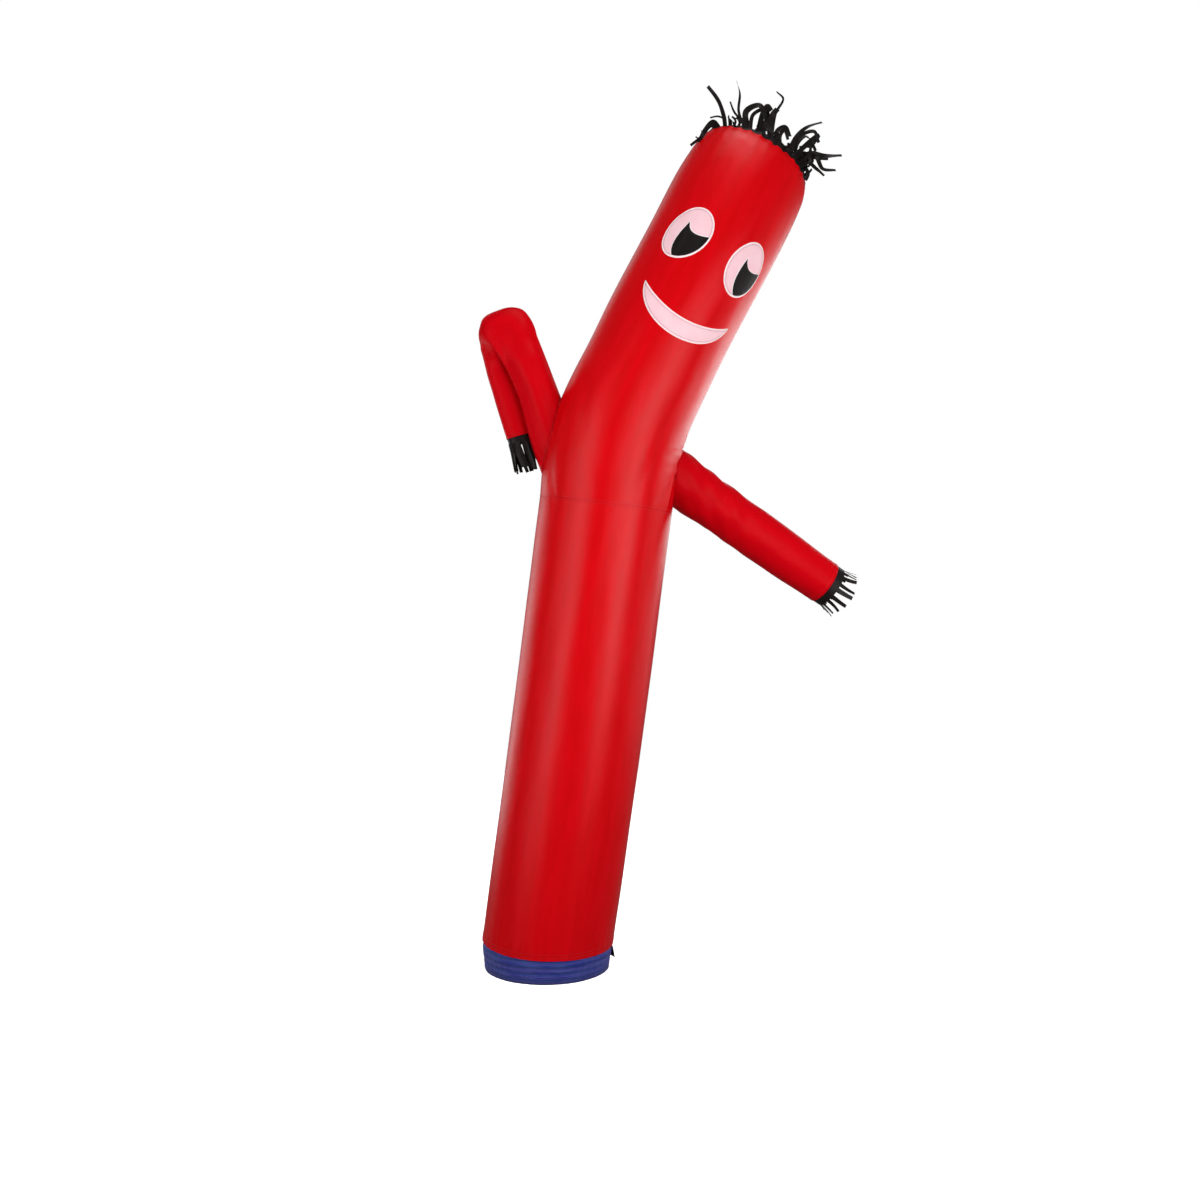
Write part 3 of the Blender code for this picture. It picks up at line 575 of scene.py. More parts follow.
def folded_arm_point(station, angle, lift=0.0):
    """A point of the folded arm. In the fold the cloth runs smoothly over the pivot, as a dome, and beyond it the
    forearm hangs limp and nearly flat."""
    station, angle = np.broadcast_arrays(np.asarray(station, float), np.asarray(angle, float))
    centre, outward, wide, deep = folded_arm(station)
    fold_end = UPPER_ARM_LENGTH + ELBOW_RUN
    dome = (ease(station, UPPER_ARM_LENGTH - DOME_FADE, UPPER_ARM_LENGTH)
            * (1 - ease(station, fold_end, fold_end + DOME_FADE)))
    limp = ease(station, UPPER_ARM_LENGTH + 0.4 * ELBOW_RUN, fold_end)
    power = 2.0 + LIMP_POWER * limp
    deep = deep * (1 - limp) + LIMP_DEPTH * limp
    across = np.sign(np.cos(angle)) * np.abs(np.cos(angle)) ** (2 / power)
    beside = np.clip((across + 1) / 2, 0, 1)
    round_edge = np.clip(1 - np.abs(across) ** power, 0, 1) ** (1 / power)
    over_pivot = np.clip(1 - beside**power, 0, 1) ** (1 / power)
    side = np.sign(np.round(np.sin(angle), 9))
    behind = (deep + lift) * side * ((1 - dome) * round_edge + dome * over_pivot)
    to_apex = np.where(side < 0, DOME_FRONT, DOME_BACK) - (centre[..., 1] + side * deep)
    behind = behind + dome * np.abs(side) * to_apex * (1 - ease(beside, 0.0, 0.8))
    return centre + ((wide + lift) * across)[..., None] * outward + behind[..., None] * BACK


RIGHT_MIDDLES, RIGHT_RADII = columns(RIGHT_ARM, "x", "y", "z"), columns(RIGHT_ARM, "radius")


def reaching_arm(x):
    """The reaching arm's middle at each x, and its directions up and back."""
    centre, along = middle_line(RIGHT_MIDDLES[:, 0], RIGHT_MIDDLES, x)
    back = unit(np.cross(UP, along))
    return centre, np.cross(along, back), back


def reaching_arm_radius(x):
    return through(RIGHT_MIDDLES[:, 0], RIGHT_RADII, x)


def reaching_arm_point(x, angle, lift=0.0):
    x, angle = np.broadcast_arrays(np.asarray(x, float), np.asarray(angle, float))
    centre, up, back = reaching_arm(x)
    first, full_from, full_to, last, pitch, depth = SHOULDER_WRINKLES
    puckered = ease(x, first, full_from) * (1 - ease(x, full_to, last))
    fold = np.sin(2 * math.pi * (x - first) / pitch + angle)
    radius = reaching_arm_radius(x) - depth * puckered * (1 + fold) / 2
    return centre + (radius + lift)[..., None] * turn(angle, up, back)


def outside_body(points):
    """How far points are outside the body's plain tube."""
    height = points[..., 2].copy()
    for _ in range(12):
        centre, right, back, along = body_frame(height)
        height = height + dot(points - centre, along) * 0.8
    centre, right, back, along = body_frame(height)
    aside, behind = dot(points - centre, right), dot(points - centre, back)
    return np.hypot(aside, behind) - body_radius(height, np.arctan2(behind, aside))


def root_stations(point, low, high):
    """Where each lengthwise line of an arm comes out of the body."""
    low, high = np.full(ARM_COLUMNS, low), np.full(ARM_COLUMNS, high)
    for _ in range(24):
        middle = (low + high) / 2
        out = outside_body(point(middle, ARM_ANGLES)) > 0.0
        low, high = np.where(out, low, middle), np.where(out, middle, high)
    return high


# ---- Stitches ----

ROW_ANGLES = round_angles(360)
ARM_ROW_ANGLES = round_angles(180)


# A stitch's rings: how far along it and above the cloth each is, and how thick; and the corners of a ring.
STITCH_RINGS = ((-0.5, -0.4, 0.5), (-0.28, 0.75, 1.0), (0.28, 0.75, 1.0), (0.5, -0.4, 0.5))
STITCH_CORNERS = ((-1, 0), (0, 1), (1, 0), (0, -1))


def stitches(name, path, normals, material, pitch=0.0050, length=0.0036, thick=0.00055):
    """A closed row of raised stitches along a path, each a short bar that dips into the cloth at both ends."""
    path, normals = np.vstack([path, path[:1]]), np.vstack([normals, normals[:1]])
    lengths = run_lengths(path)
    count = max(2, round(lengths[-1] / pitch))
    at = (np.arange(count) + 0.5) / count * lengths[-1]

    def found(values, where):
        return np.stack([np.interp(where, lengths, values[:, axis]) for axis in range(3)], -1)

    ahead = unit(found(path, np.minimum(at + 0.001, lengths[-1])) - found(path, np.maximum(at - 0.001, 0.0)))
    normal, middle = unit(found(normals, at)), found(path, at)
    side = unit(np.cross(normal, ahead))
    points = np.stack([middle + ahead * share * length + side * across * width * thick
                       + normal * (rise + lift * width) * thick
                       for share, rise, width in STITCH_RINGS for across, lift in STITCH_CORNERS], 1)
    quads = [(4 * ring + edge, 4 * ring + (edge + 1) % 4, 4 * ring + 4 + (edge + 1) % 4, 4 * ring + 4 + edge)
             for ring in range(3) for edge in range(4)] + [(3, 2, 1, 0), (12, 13, 14, 15)]
    faces = (np.array(quads)[None] + 16 * np.arange(count)[:, None, None]).reshape(-1, 4)
    made = link_mesh(name, new_mesh(name, points, faces), material)
    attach(made, "root")
    return made


def body_row(name, height):
    """Stitches round the body, at one height or at one for each angle."""
    level = np.zeros(len(ROW_ANGLES)) + height
    path = body_point(level, ROW_ANGLES, body_relief(level, ROW_ANGLES) + 0.0004)
    return stitches(name, path, unit(path - body_frame(level)[0]), RED_THREAD)


# ---- The body's cloth ----

def hem_rise(angle):
    """How much higher the cloth's lower edge runs on the left than on the right."""
    return 0.004 + 0.016 * ((1 - np.cos(angle)) / 2) ** 2.4


def body_piece(name, low, high, rows, nodes, near_roots=()):
    """One length of the body's cloth, gathered round the arms' roots and cut away inside them."""
    between = np.linspace(low, high, rows - 2)[1:-1]
    levels = np.concatenate([[low, low + EDGE_ROW], between, [high - EDGE_ROW, high]])
    heights, angles = np.meshgrid(levels, round_angles(BODY_COLUMNS, math.pi / 2), indexing="ij")
    if low < HEM_HEIGHT:
        heights = heights + hem_rise(angles) * (1 - ease(heights, low, low + HEM_FADE))
    lift = body_relief(heights, angles)
    if high == RIM_HEIGHT:
        near_rim = RIM_SCALLOP * ease(heights, RIM_HEIGHT - 0.05, RIM_HEIGHT)
        heights = heights + near_rim * waves(wrapped(angles) * 3.2, seed=21, count=5) - near_rim
    points = body_point(heights, angles, lift)
    keep = np.ones((rows - 1, BODY_COLUMNS), bool)
    for root, middles, radii in near_roots:
        away = np.linalg.norm(points[:, :, None] - root[None, None, ::4], axis=-1)
        nearest = away.min(-1)[..., None]
        out = unit(points - body_frame(heights)[0])
        points = points - out * (ROOT_PINCH * bump_at(nearest, ROOT_PINCH_WIDTH))
        ripple = np.sin(away.argmin(-1) * 4 / len(root) * 2 * math.pi * ROOT_RIPPLES)[..., None]
        points = points + out * (ROOT_RIPPLE * ripple * np.exp(-nearest / ROOT_RIPPLE_REACH))
        middle = (points[:-1] + points[1:]) / 2
        middle = (middle + np.roll(middle, -1, 1)) / 2
        inside = np.linalg.norm(middle[:, :, None] - middles[None, None], axis=-1)
        keep &= inside.min(-1) >= radii[inside.argmin(-1)] - CUT_AWAY
    cloth = stacked(np.linspace(0, CLOTH_WIDTH, BODY_COLUMNS + 1), heights[:, :1])
    return dress(sheet_mesh(name, points, cloth, RED_NYLON, wrap=True, keep=keep), "red_nylon", *nodes)


ARM_ANGLES = round_angles(ARM_COLUMNS)
left_root = root_stations(folded_arm_point, 0.0, UPPER_ARM_LENGTH)
right_root = root_stations(reaching_arm_point, 0.355, 0.600)
left_seam = folded_arm_point(left_root, ARM_ANGLES)
right_seam = reaching_arm_point(right_root, ARM_ANGLES)
left_line = folded_arm(np.linspace(0.02, 0.42, 60))[0]
right_xs = np.linspace(0.36, 0.56, 40)
right_line = reaching_arm(right_xs)[0]

lower = body_piece("body_lower_cloth", HEM_HEIGHT - BELOW_HEM, SEAM_HEIGHT, 170, ["tube_lower"])
upper = body_piece("body_upper_cloth", SEAM_HEIGHT, RIM_HEIGHT, 150, ["tube_upper", "head"],
                   [(left_seam, left_line, np.full(60, ARM_RADIUS)),
                    (right_seam, right_line, reaching_arm_radius(right_xs))])


# ---- The arms' cloth ----

def arm_piece(name, node, point, roots, end, rows, relief):
    """A sleeve whose first row lies on the body, along its sewn root."""
    stations = roots + (end - roots) * np.linspace(0, 1, rows)[:, None]
    angles = ARM_ANGLES + np.zeros((rows, 1))
    round_it = angles * ARM_RADIUS
    lift = relief(stations, angles) + puckers(round_it, stations - roots, ROOT_GATHERS)
    lift -= 0.0008 * bump_at(stations - roots, 0.006)
    lift += puckers(round_it, end - stations, CUFF_GATHERS)
    lift -= 0.0008 * bump_at(end - stations - 0.014, 0.003)
    across = np.linspace(0, 2 * math.pi * ARM_RADIUS, ARM_COLUMNS + 1)
    cloth = stacked(across, np.hstack([stations, stations[:, :1]]))
    piece = sheet_mesh(name, point(stations, angles, lift), cloth, SHADED_SLEEVE_NYLON, wrap=True)
    return dress(piece, "red_nylon", node)


def folded_relief(station, angle):
    """Fine folds that gather towards the inside of the elbow, long soft ones down the upper arm, and the ridge
    beside which the forearm is tucked in."""
    inner = ease(-np.cos(angle), -0.2, 1.0)
    elbow = bump_at(station - UPPER_ARM_LENGTH - ELBOW_RUN / 2, 0.085)
    gathered = 0.0007 * np.sin(station / 0.0115 + 1.5 * np.sin(2 * angle)) * inner * elbow
    lengthwise = 0.0011 * waves(angle * ARM_RADIUS / 0.020, station / 0.17, seed=23, count=7)
    streaks = 0.0012 * np.sin(angle * 7 + 3 * station) * ease(UPPER_ARM_LENGTH - station, -0.02, 0.10)
    beside_fold = (angle - math.radians(-151.0)) * ARM_RADIUS
    ridge = 0.0042 * bump_at(beside_fold, 0.0085) * ease(UPPER_ARM_LENGTH - station, 0.0, 0.03)
    return gathered + lengthwise + streaks + ridge


def reaching_relief(x, angle):
    """Slanting wrinkles near the shoulder that grow soft towards the wrist."""
    near = 1 - ease(x, 0.560, 0.800)
    round_it = angle * 0.085
    slanting = waves((x + 0.6 * round_it) / 0.018, round_it / 0.040, seed=29, count=7)
    crossing = waves((x - 0.9 * round_it) / 0.030, round_it / 0.060, seed=31, count=7)
    soft = waves(round_it / 0.026, x / 0.16, seed=37, count=7)
    return 0.0032 * slanting * near + 0.0016 * crossing * (0.3 + 0.7 * near) + 0.0010 * soft


left_arm = arm_piece("folded_arm_cloth", "arm_left", folded_arm_point, left_root, LEFT_END, 170, folded_relief)
right_arm = arm_piece("reaching_arm_cloth", "arm_right", reaching_arm_point, right_root, RIGHT_END, 120,
                      reaching_relief)


# ---- The collar ----

def collar_point(height, angle, lift=0.0):
    """A point of the collar, whose hidden top turns inwards."""
    radius = np.interp(height, COLLAR[:, 0], COLLAR[:, 1]) + lift - 0.007 * ease(height, 0.072, 0.104)
    return stacked(HEM_SHIFT * height / HEM_HEIGHT + radius * np.cos(angle), radius * np.sin(angle), height)


def collar_piece():
    rows, across = 60, 240
    angles = round_angles(across) + np.zeros((rows, 1))
    heights = np.linspace(0.0, 1.0, rows)[:, None] * (0.081 + hem_rise(angles))
    lift = sum(-0.0013 * bump_at(heights - row, 0.0020) for row in STITCHED_ROWS)
    lift = lift - 0.0010 * bump_at(heights - 0.035, 0.005) + 0.0008 * waves(angles * 9, heights / 0.05, seed=45)
    lift = lift + puckers(angles * COLLAR_RADIUS, 0.0, COLLAR_GATHERS)
    cloth = stacked(np.linspace(0, COLLAR_LENGTH, across + 1), np.hstack([heights, heights[:, :1]]))
    return dress(sheet_mesh("collar_webbing", collar_point(heights, angles, lift), cloth, BLUE_WEBBING, wrap=True,
                            thickness=0.0040), "blue_webbing", "collar")


collar = collar_piece()
collar_rows = [stitches(f"collar_stitches_{number}", collar_point(row, ROW_ANGLES, -0.0005),
                        turn(ROW_ANGLES, RIGHT, BACK), BLUE_THREAD, pitch=0.0044, length=0.0033, thick=0.0005)
               for number, row in enumerate(STITCHED_ROWS)]


def strap_piece():
    """The closing strap: sewn flat round the collar, its free corner standing off and curling down."""
    along, across = 26, 8
    angle, share = np.meshgrid(np.radians(np.linspace(STRAP_FROM, STRAP_TO, along)), np.linspace(0, 1, across),
                               indexing="ij")
    free = ease(-np.degrees(angle), -STRAP_FREE, -STRAP_TO)
    height = STRAP_LOW.height + (STRAP_HIGH.height - STRAP_LOW.height) * share
    radius = STRAP_LOW.radius + (STRAP_HIGH.radius - STRAP_LOW.radius) * share + STRAP_LIFT
    radius = radius + free * (STRAP_CURL * (1 - share) + STRAP_CURL_TOP * share)
    points = stacked(HEM_SHIFT * height / HEM_HEIGHT + radius * np.cos(angle), radius * np.sin(angle), height)
    cloth = stacked((0.60 - angle) * 0.22, share * STRAP_WIDTH)
    return dress(sheet_mesh("closing_strap_tape", points, cloth, BLACK_NYLON, thickness=0.0018), "black_nylon",
                 "closing_strap")


strap = strap_piece()


# ---- Fringes ----

# The corners of a strand's section: how far across it is, how far its cup lifts it, and on which face it is.
SECTION = ((-1, 1, 1), (0, 0, 1), (1, 1, 1), (1, 1, -1), (0, 0, -1), (-1, 1, -1))


class Fringe:
    """A strip of cloth with its edge cut into strands, gathered into one mesh."""

    def __init__(self, name):
        self.name, self.points, self.faces, self.cloth = name, [], [], []

    def ribbon(self, path, sides, widths, thick=0.0005, cup=0.12):
        """One strand: thin, a little cupped across, and cut square at its tip."""
        ahead = unit(np.gradient(path, axis=0))
        sides = unit(sides - dot(sides, ahead)[:, None] * ahead)
        normal, half, lengths = np.cross(sides, ahead), widths[:, None] / 2, run_lengths(path)
        rings = [path + sides * across * half + normal * (lift * cup * half + above * thick / 2)
                 for across, lift, above in SECTION]
        first, last = len(self.points), len(path) - 1
        self.points += np.stack(rings, 1).reshape(-1, 3).tolist()

        def face(width, *corners):
            self.faces.append([first + 6 * level + corner for level, corner in corners])
            self.cloth.extend((SECTION[corner][0] * width / 2, lengths[level]) for level, corner in corners)

        for level in range(last):
            for corner in range(6):
                after = (corner + 1) % 6
                face(widths[level], (level, corner), (level, after), (level + 1, after), (level + 1, corner))
        for level, order in ((0, (5, 4, 3, 2, 1, 0)), (last, (0, 1, 2, 3, 4, 5))):
            for quad in ((0, 1, 4, 5), (1, 2, 3, 4)):
                face(widths[level], *((level, order[corner]) for corner in quad))

    def band(self, low, high):
        """The uncut part of the strip, as a ribbon that runs round inside the tube's end."""
        low, high = np.vstack([low, low[:2]]), np.vstack([high, high[:2]])
        self.ribbon((low + high) / 2, high - low, np.linalg.norm(high - low, axis=-1), cup=0.0)

    def finish(self, node):
        mesh = new_mesh(self.name, self.points, self.faces, self.cloth)
        turned = bmesh.new()
        turned.from_mesh(mesh)
        bmesh.ops.recalc_face_normals(turned, faces=turned.faces)
        turned.to_mesh(mesh)
        turned.free()
        mesh.set_sharp_from_angle(angle=math.radians(50.0))
        return dress(link_mesh(self.name, mesh, BLACK_NYLON), "black_nylon", node)


def drawn(chance, *spans):
    """One number from each span, drawn in turn."""
    return (chance.uniform(*span) for span in spans)


def walk(start, leans, swings, along, out, side, length):
    """The path from start, in equal steps, that leans from along towards out and swings to the side."""
    leans, swings = np.radians(leans)[:, None], np.radians(swings)[:, None]
    directions = (np.cos(leans) * np.cos(swings) * along + np.sin(leans) * np.cos(swings) * out
                  + np.sin(swings) * side)
    step = length / (len(directions) - 1)
    return start + np.concatenate([np.zeros((1, 3)), np.cumsum(unit(directions[:-1]) * step, axis=0)])


def rim_frame(angle):
    """The rim's point at an angle, with its directions along the head, outwards and round the rim."""
    centre, right, back, along = body_frame(RIM_HEIGHT)
    out = math.cos(angle) * right + math.sin(angle) * back
    side = -math.sin(angle) * right + math.cos(angle) * back
    return centre + out * (body_radius(RIM_HEIGHT, angle) - HAIR_INSET), along, out, side


# The hair's chief strands. Each starts on the rim at its angle and passes three points, given in millimetres to
# the right of its root and above it; twist is how its face turns towards the tip, of which LOCK_TWIST is taken.
Lock = collections.namedtuple("Lock", "place angle width near_right near_up right up tip_right tip_up twist")
LOCKS = [
    Lock("long, left", -131, 11, -5, 33, -24, 86, -61, 134, 30),
    Lock("level, left", -130, 5, -2, 21, -23, 32, -55, 27, 40),
    Lock("low, left", -140, 14, -20, 19, -49, -12, -70, -50, -30),
    Lock("low, left, outer", -143, 9, -23, 6, -62, -40, -94, -66, 40),
    Lock("curl, far left", -152, 8, 22, 7, 9, 13, -10, -11, 90),
    Lock("curl, left", -127, 6, 10, 6, 8, 21, 2, 29, 60),
    Lock("second curl", -121, 6, 8, 10, 2, 24, -5, 30, 60),
    Lock("third curl", -115, 7, 7, 16, 0, 30, -12, 34, -60),
    Lock("fourth curl", -111, 7, 10, 18, -3, 33, -17, 34, 50),
    Lock("long, middle", -107, 7, -22, 54, -18, 114, -29, 156, 140),
    Lock("fork, middle", -106, 6, -16, 33, -38, 62, -52, 95, 60),
    Lock("arch, broad", -104, 16, -6, 56, 39, 74, 60, 32, 20),
    Lock("arch, inner", -101, 10, 8, 47, 39, 64, 32, 0, 30),
    Lock("arch, right", -92, 15, 14, 61, 30, 89, 44, 75, -30),
    Lock("ribbon, hanging", -88, 14, 17, 51, 18, 76, 2, 89, 20),
    Lock("broad, right of middle", -78, 17, -3, 54, 7, 81, 22, 99, 30),
    Lock("long, right of middle", -77, 8, 11, 82, 38, 133, 15, 159, 120),
    Lock("hook, right", -70, 13, -1, 41, 28, 59, 45, 27, 40),
    Lock("hook, inner", -66, 10, -1, 35, 14, 52, 26, 21, -40),
    Lock("sweep, right", -55, 11, 26, 53, 61, 84, 114, 101, 60),
    Lock("loop, upper", -52, 10, 26, 56, 81, 79, 98, 41, -50),
    Lock("loop, lower", -47, 13, 42, 43, 86, 78, 61, 40, 40),
    Lock("loop, inner", -45, 9, 12, 54, 40, 82, 60, 68, 70),
    Lock("tangle, upper", -44, 10, 31, 42, 59, 50, 71, 28, -80),
    Lock("tangle, back", -40, 8, 34, 17, 44, 48, 7, 51, 90),
    Lock("tangle, out", -38, 11, 14, 33, 53, 28, 107, 22, -60),
    Lock("long, far right", -37, 14, 39, 39, 94, 32, 151, 32, 50),
    Lock("tangle, curled", -36, 8, 39, 11, 18, 41, -3, 27, 120),
    Lock("low, far right", -34, 14, 53, 32, 77, -12, 124, -16, 80),
    Lock("lower, far right", -30, 8, 14, 33, 40, 28, 24, 4, -60),
    Lock("crossing, far right", -31, 10, 22, 30, 58, 4, 84, -22, 30),
    Lock("short, far right", -27, 11, 12, 8, 20, -14, 12, -34, 20),
    Lock("last", -21, 10, -4, 31, 13, 5, 1, -5, 60),
]
HAIR_ROOT, HAIR_INSET = 0.012, 0.0042      # how far down and in from the rim a strand's root is
HAIR_SCALE, LOCK_TWIST = 0.00135, 0.7      # from a lock's width to its strand's, in metres, and of its twist
BAND_LIFT = -0.0022      # of the hair's uncut strip, from the cloth
LONG, SHORT = (0.060, 0.115), (0.022, 0.045)
# The loose strands: the angle they start at, over how many degrees, how many, and how many of them are short.
LOOSE = ((34.0, 124.0, 24, 3), (-128.0, 112.0, 15, 15))
# Their widths, and their lean, curl, swing, sway and twist, in degrees.
LOOSE_SPANS = ((0.008, 0.014), (0.0, 50.0), (-20.0, 110.0), (-26.0, 26.0), (-90.0, 90.0), (-110.0, 110.0))


def loose_strand(hair, number, angle, chance, lengths):
    """A strand of no set course, which leaves along the head, leans outwards and curls."""
    point, along, out, side = rim_frame(angle)
    length, width, lean, curl, swing, sway, twist = drawn(chance, lengths, *LOOSE_SPANS)
    share = np.linspace(0, 1, 17)
    path = walk(point - along * HAIR_ROOT, lean * np.minimum(1, share * 5) + curl * share,
                swing * np.minimum(1, share * 4) + sway * share**1.5, along, out, side, length + HAIR_ROOT)
    sides = turn(math.radians(twist) * ease(share, 0.15, 1.0), side, out)
    hair.ribbon(path, sides, width * (1 - 0.25 * share) * (1 + 0.08 * np.sin(share * 9 + number)))


def set_strand(hair, lock, chance):
    """A strand that follows its lock's course, its face mostly to the front."""
    point, along, _, side = rim_frame(math.radians(lock.angle))
    share = np.linspace(0, 1, 29)
    stops = 0.001 * np.array([(0, 0), (lock.near_right, lock.near_up), (lock.right, lock.up),
                              (lock.tip_right, lock.tip_up)])
    runs = run_lengths(stops)
    course = through(runs / runs[-1], stops, share)
    towards = (chance.uniform(-0.012, 0.024) * np.sin(share * math.pi * 0.6)
               + 0.003 * np.sin(share * 7 + lock.angle))
    path = np.vstack([point - along * HAIR_ROOT, point + np.stack([course[:, 0], -towards, course[:, 1]], -1)])
    share = np.concatenate([[0.0], share])
    level = unit(np.cross(unit(np.gradient(path, axis=0)), -BACK))
    level = level * np.sign(dot(level, side))[:1, None]
    twist = LOCK_TWIST * math.radians(lock.twist) * ease(share, 0.4, 1.0) + 0.2 * np.sin(share * 8 + lock.angle)
    hair.ribbon(path, turn(twist, level, -BACK), HAIR_SCALE * lock.width * (1 - 0.2 * share**2))


def hair_piece():
    chance = random.Random(5)
    hair = Fringe("hair_fringe")
    for start, run, count, short in LOOSE:
        for number in range(count):
            angle = math.radians(start + run * (number + chance.uniform(0.2, 0.8)) / count)
            loose_strand(hair, number, angle, chance, SHORT if number < short else LONG)
    for lock in LOCKS:
        set_strand(hair, lock, chance)
    angles = round_angles(96)
    low, high = (body_point(height, angles, body_relief(height, angles) + BAND_LIFT)
                 for height in (RIM_HEIGHT - 0.024, RIM_HEIGHT - 0.004))
    rise = 0.004 + 0.010 * bump_at(wrapped(angles + math.radians(68.0)), 0.85) + 0.003 * waves(angles * 6, seed=43)
    hair.band(low, high + body_frame(RIM_HEIGHT)[3] * rise[:, None])
    return hair.finish("hair")


def arm_fringe(name, node, point, end, count, seed, leans, curls, lengths, widths, depth, lift=-0.0016):
    """The fringe in an arm's open end: a band, with strands that run on from its edge."""
    chance = random.Random(seed)
    fringe = Fringe(name)
    inside, edge = (point(station, round_angles(60), lift) for station in (end - 0.012, end))
    middle = edge.mean(0)
    along = unit(middle - inside.mean(0))
    fringe.band(inside, edge + along * depth)
    for number in range(count):
        angle = np.array([(number + chance.uniform(-0.12, 0.12)) / count * 2 * math.pi])
        root, near = (point(end, at, lift)[0] + along * (depth - 0.004) for at in (angle, angle + 0.05))
        side = unit(near - root)
        out = np.cross(side, along)
        if np.dot(out, root - middle) < 0:
            out = -out
        length, lean, curl, swing, sway, twist, width = drawn(chance, lengths, leans, curls, (-6.0, 6.0),
                                                              (-16.0, 16.0), (-28.0, 28.0), widths)
        share = np.linspace(0, 1, 12)
        path = walk(root, lean * np.minimum(1, share * 4) + curl * share, swing + sway * share, along, out, side,
                    length)
        fringe.ribbon(path, turn(math.radians(twist) * share, side, out), width * (1 - 0.25 * share))
    return fringe.finish(node)


hair_piece()
arm_fringe("folded_arm_fringe", "fringe_left", folded_arm_point, LEFT_END, 30, 64, leans=(-1.0, 5.0),
           curls=(-4.0, 4.0), lengths=(0.086, 0.106), widths=(0.015, 0.021), depth=0.022)
arm_fringe("reaching_arm_fringe", "fringe_right", reaching_arm_point, RIGHT_END, 18, 67, leans=(2.0, 12.0),
           curls=(-6.0, 24.0), lengths=(0.046, 0.068), widths=(0.014, 0.019), depth=0.030)


# ---- The face ----

HEAD_HEIGHTS = np.linspace(RIM_HEIGHT, HEM_HEIGHT, 900)
HEAD_DOWN = run_lengths(through(BODY_HEIGHTS, BODY_MIDDLES, HEAD_HEIGHTS))


def head_place(across, down):
    """The height and angle on the head that is across from the face's middle and down from the rim."""
    return np.interp(down, HEAD_DOWN, HEAD_HEIGHTS), math.radians(FACE_TURN - 90.0) + across / FACE_RADIUS


def head_points(line, lift):
    """Points on the creased head."""
    height, angle = head_place(*line.T)
    return body_point(height, angle, body_relief(height, angle) + lift)


def head_normals(line):
    height, angle = head_place(*line.T)
    return turn(angle, *body_frame(height)[1:3])


def in_oval(oval, places):
    """Points given in the oval's own half sizes, from its middle."""
    tilt = math.radians(oval.tilt)
    wide, high = oval.half_width * places[:, 0], oval.half_height * places[:, 1]
    return np.stack([oval.across + wide * math.cos(tilt) + high * math.sin(tilt),
                     oval.down + wide * math.sin(tilt) - high * math.cos(tilt)], -1)


def on_circle(first, last, count):
    return turn(np.radians(np.linspace(first, last, count)), RIGHT[:2], BACK[:2])


def bowed(start, bow, end, count=24):
    """A curve that leaves start towards bow and comes to end from it, without its last point."""
    share = np.linspace(0, 1, count + 1)[:-1, None]
    start, bow, end = np.array(start), np.array(bow), np.array(end)
    return start * (1 - share) ** 2 + bow * 2 * share * (1 - share) + end * share**2


def pupil_outline(eye):
    """A drop along the low side of its eye, with a hollow in its top where the eye glints."""
    edge = PUPIL_REACH * on_circle(PUPIL_ROUND_FROM, PUPIL_ROUND_TO, 36)
    return in_oval(eye, np.vstack([bowed(PUPIL_TIP, PUPIL_SIDE_BOW, edge[0]), edge[:-1],
                                   bowed(edge[-1], PUPIL_TOP_BOW, PUPIL_TIP)]))


def mouth_outline(count=70):
    across = MOUTH_HALF_WIDTH * np.sin(np.linspace(-math.pi / 2, math.pi / 2, count))
    bulge = 1 - (across / MOUTH_HALF_WIDTH) ** 2
    upper_lip = np.stack([across, MOUTH_TIP_DOWN + MOUTH_UPPER_SAG * bulge], -1)
    lower_lip = np.stack([across, MOUTH_TIP_DOWN + MOUTH_LOWER_SAG * bulge**MOUTH_LOWER_FULLNESS], -1)
    return np.vstack([upper_lip, lower_lip[-2:0:-1]])


def area_inside(outline):
    """The area inside a closed outline, below zero where it runs the other way round."""
    (right, up), (next_right, next_up) = outline.T, np.roll(outline, -1, 0).T
    return 0.5 * np.sum(right * next_up - up * next_right)


def inset(outline, distance):
    """The outline moved in by a distance."""
    ahead = unit(np.roll(outline, -1, 0) - np.roll(outline, 1, 0))
    normal = np.stack([-ahead[:, 1], ahead[:, 0]], -1)
    return outline + normal * distance * math.copysign(1, area_inside(outline))


def patch(name, node, outline, lift, material, slot, thick=0.0006, step=0.008):
    """A cutting laid on the head, in facets of one step that follow its creases."""
    cutting = bmesh.new()
    cutting.faces.new([cutting.verts.new((across, down, 0.0)) for across, down in outline])
    for axis in (0, 1):
        normal, reach = Vector(np.eye(3)[axis]), outline[:, axis]
        for line in range(math.ceil(reach.min() / step), math.floor(reach.max() / step) + 1):
            bmesh.ops.bisect_plane(cutting, geom=cutting.verts[:] + cutting.edges[:] + cutting.faces[:], dist=1e-6,
                                   plane_co=normal * line * step, plane_no=normal)
    bmesh.ops.triangulate(cutting, faces=cutting.faces[:])
    cutting.normal_update()
    layer = cutting.loops.layers.uv.new("cloth")
    for face in cutting.faces:
        for loop in face.loops:
            loop[layer].uv = loop.vert.co.xy
    flat = np.array([vert.co.xy for vert in cutting.verts])
    for vert, point in zip(cutting.verts, head_points(flat, lift + thick) + FOOT_CENTRE):
        vert.co = point
    bmesh.ops.recalc_face_normals(cutting, faces=cutting.faces)
    outward = np.array([face.normal for face in cutting.faces]).mean(0)
    if np.dot(outward, head_normals(flat[:1])[0]) < 0:
        bmesh.ops.reverse_faces(cutting, faces=cutting.faces)
    mesh = bpy.data.meshes.new(name)
    cutting.to_mesh(mesh)
    cutting.free()
    mesh.shade_smooth()
    return dress(link_mesh(name, mesh, material, thick), slot, node)


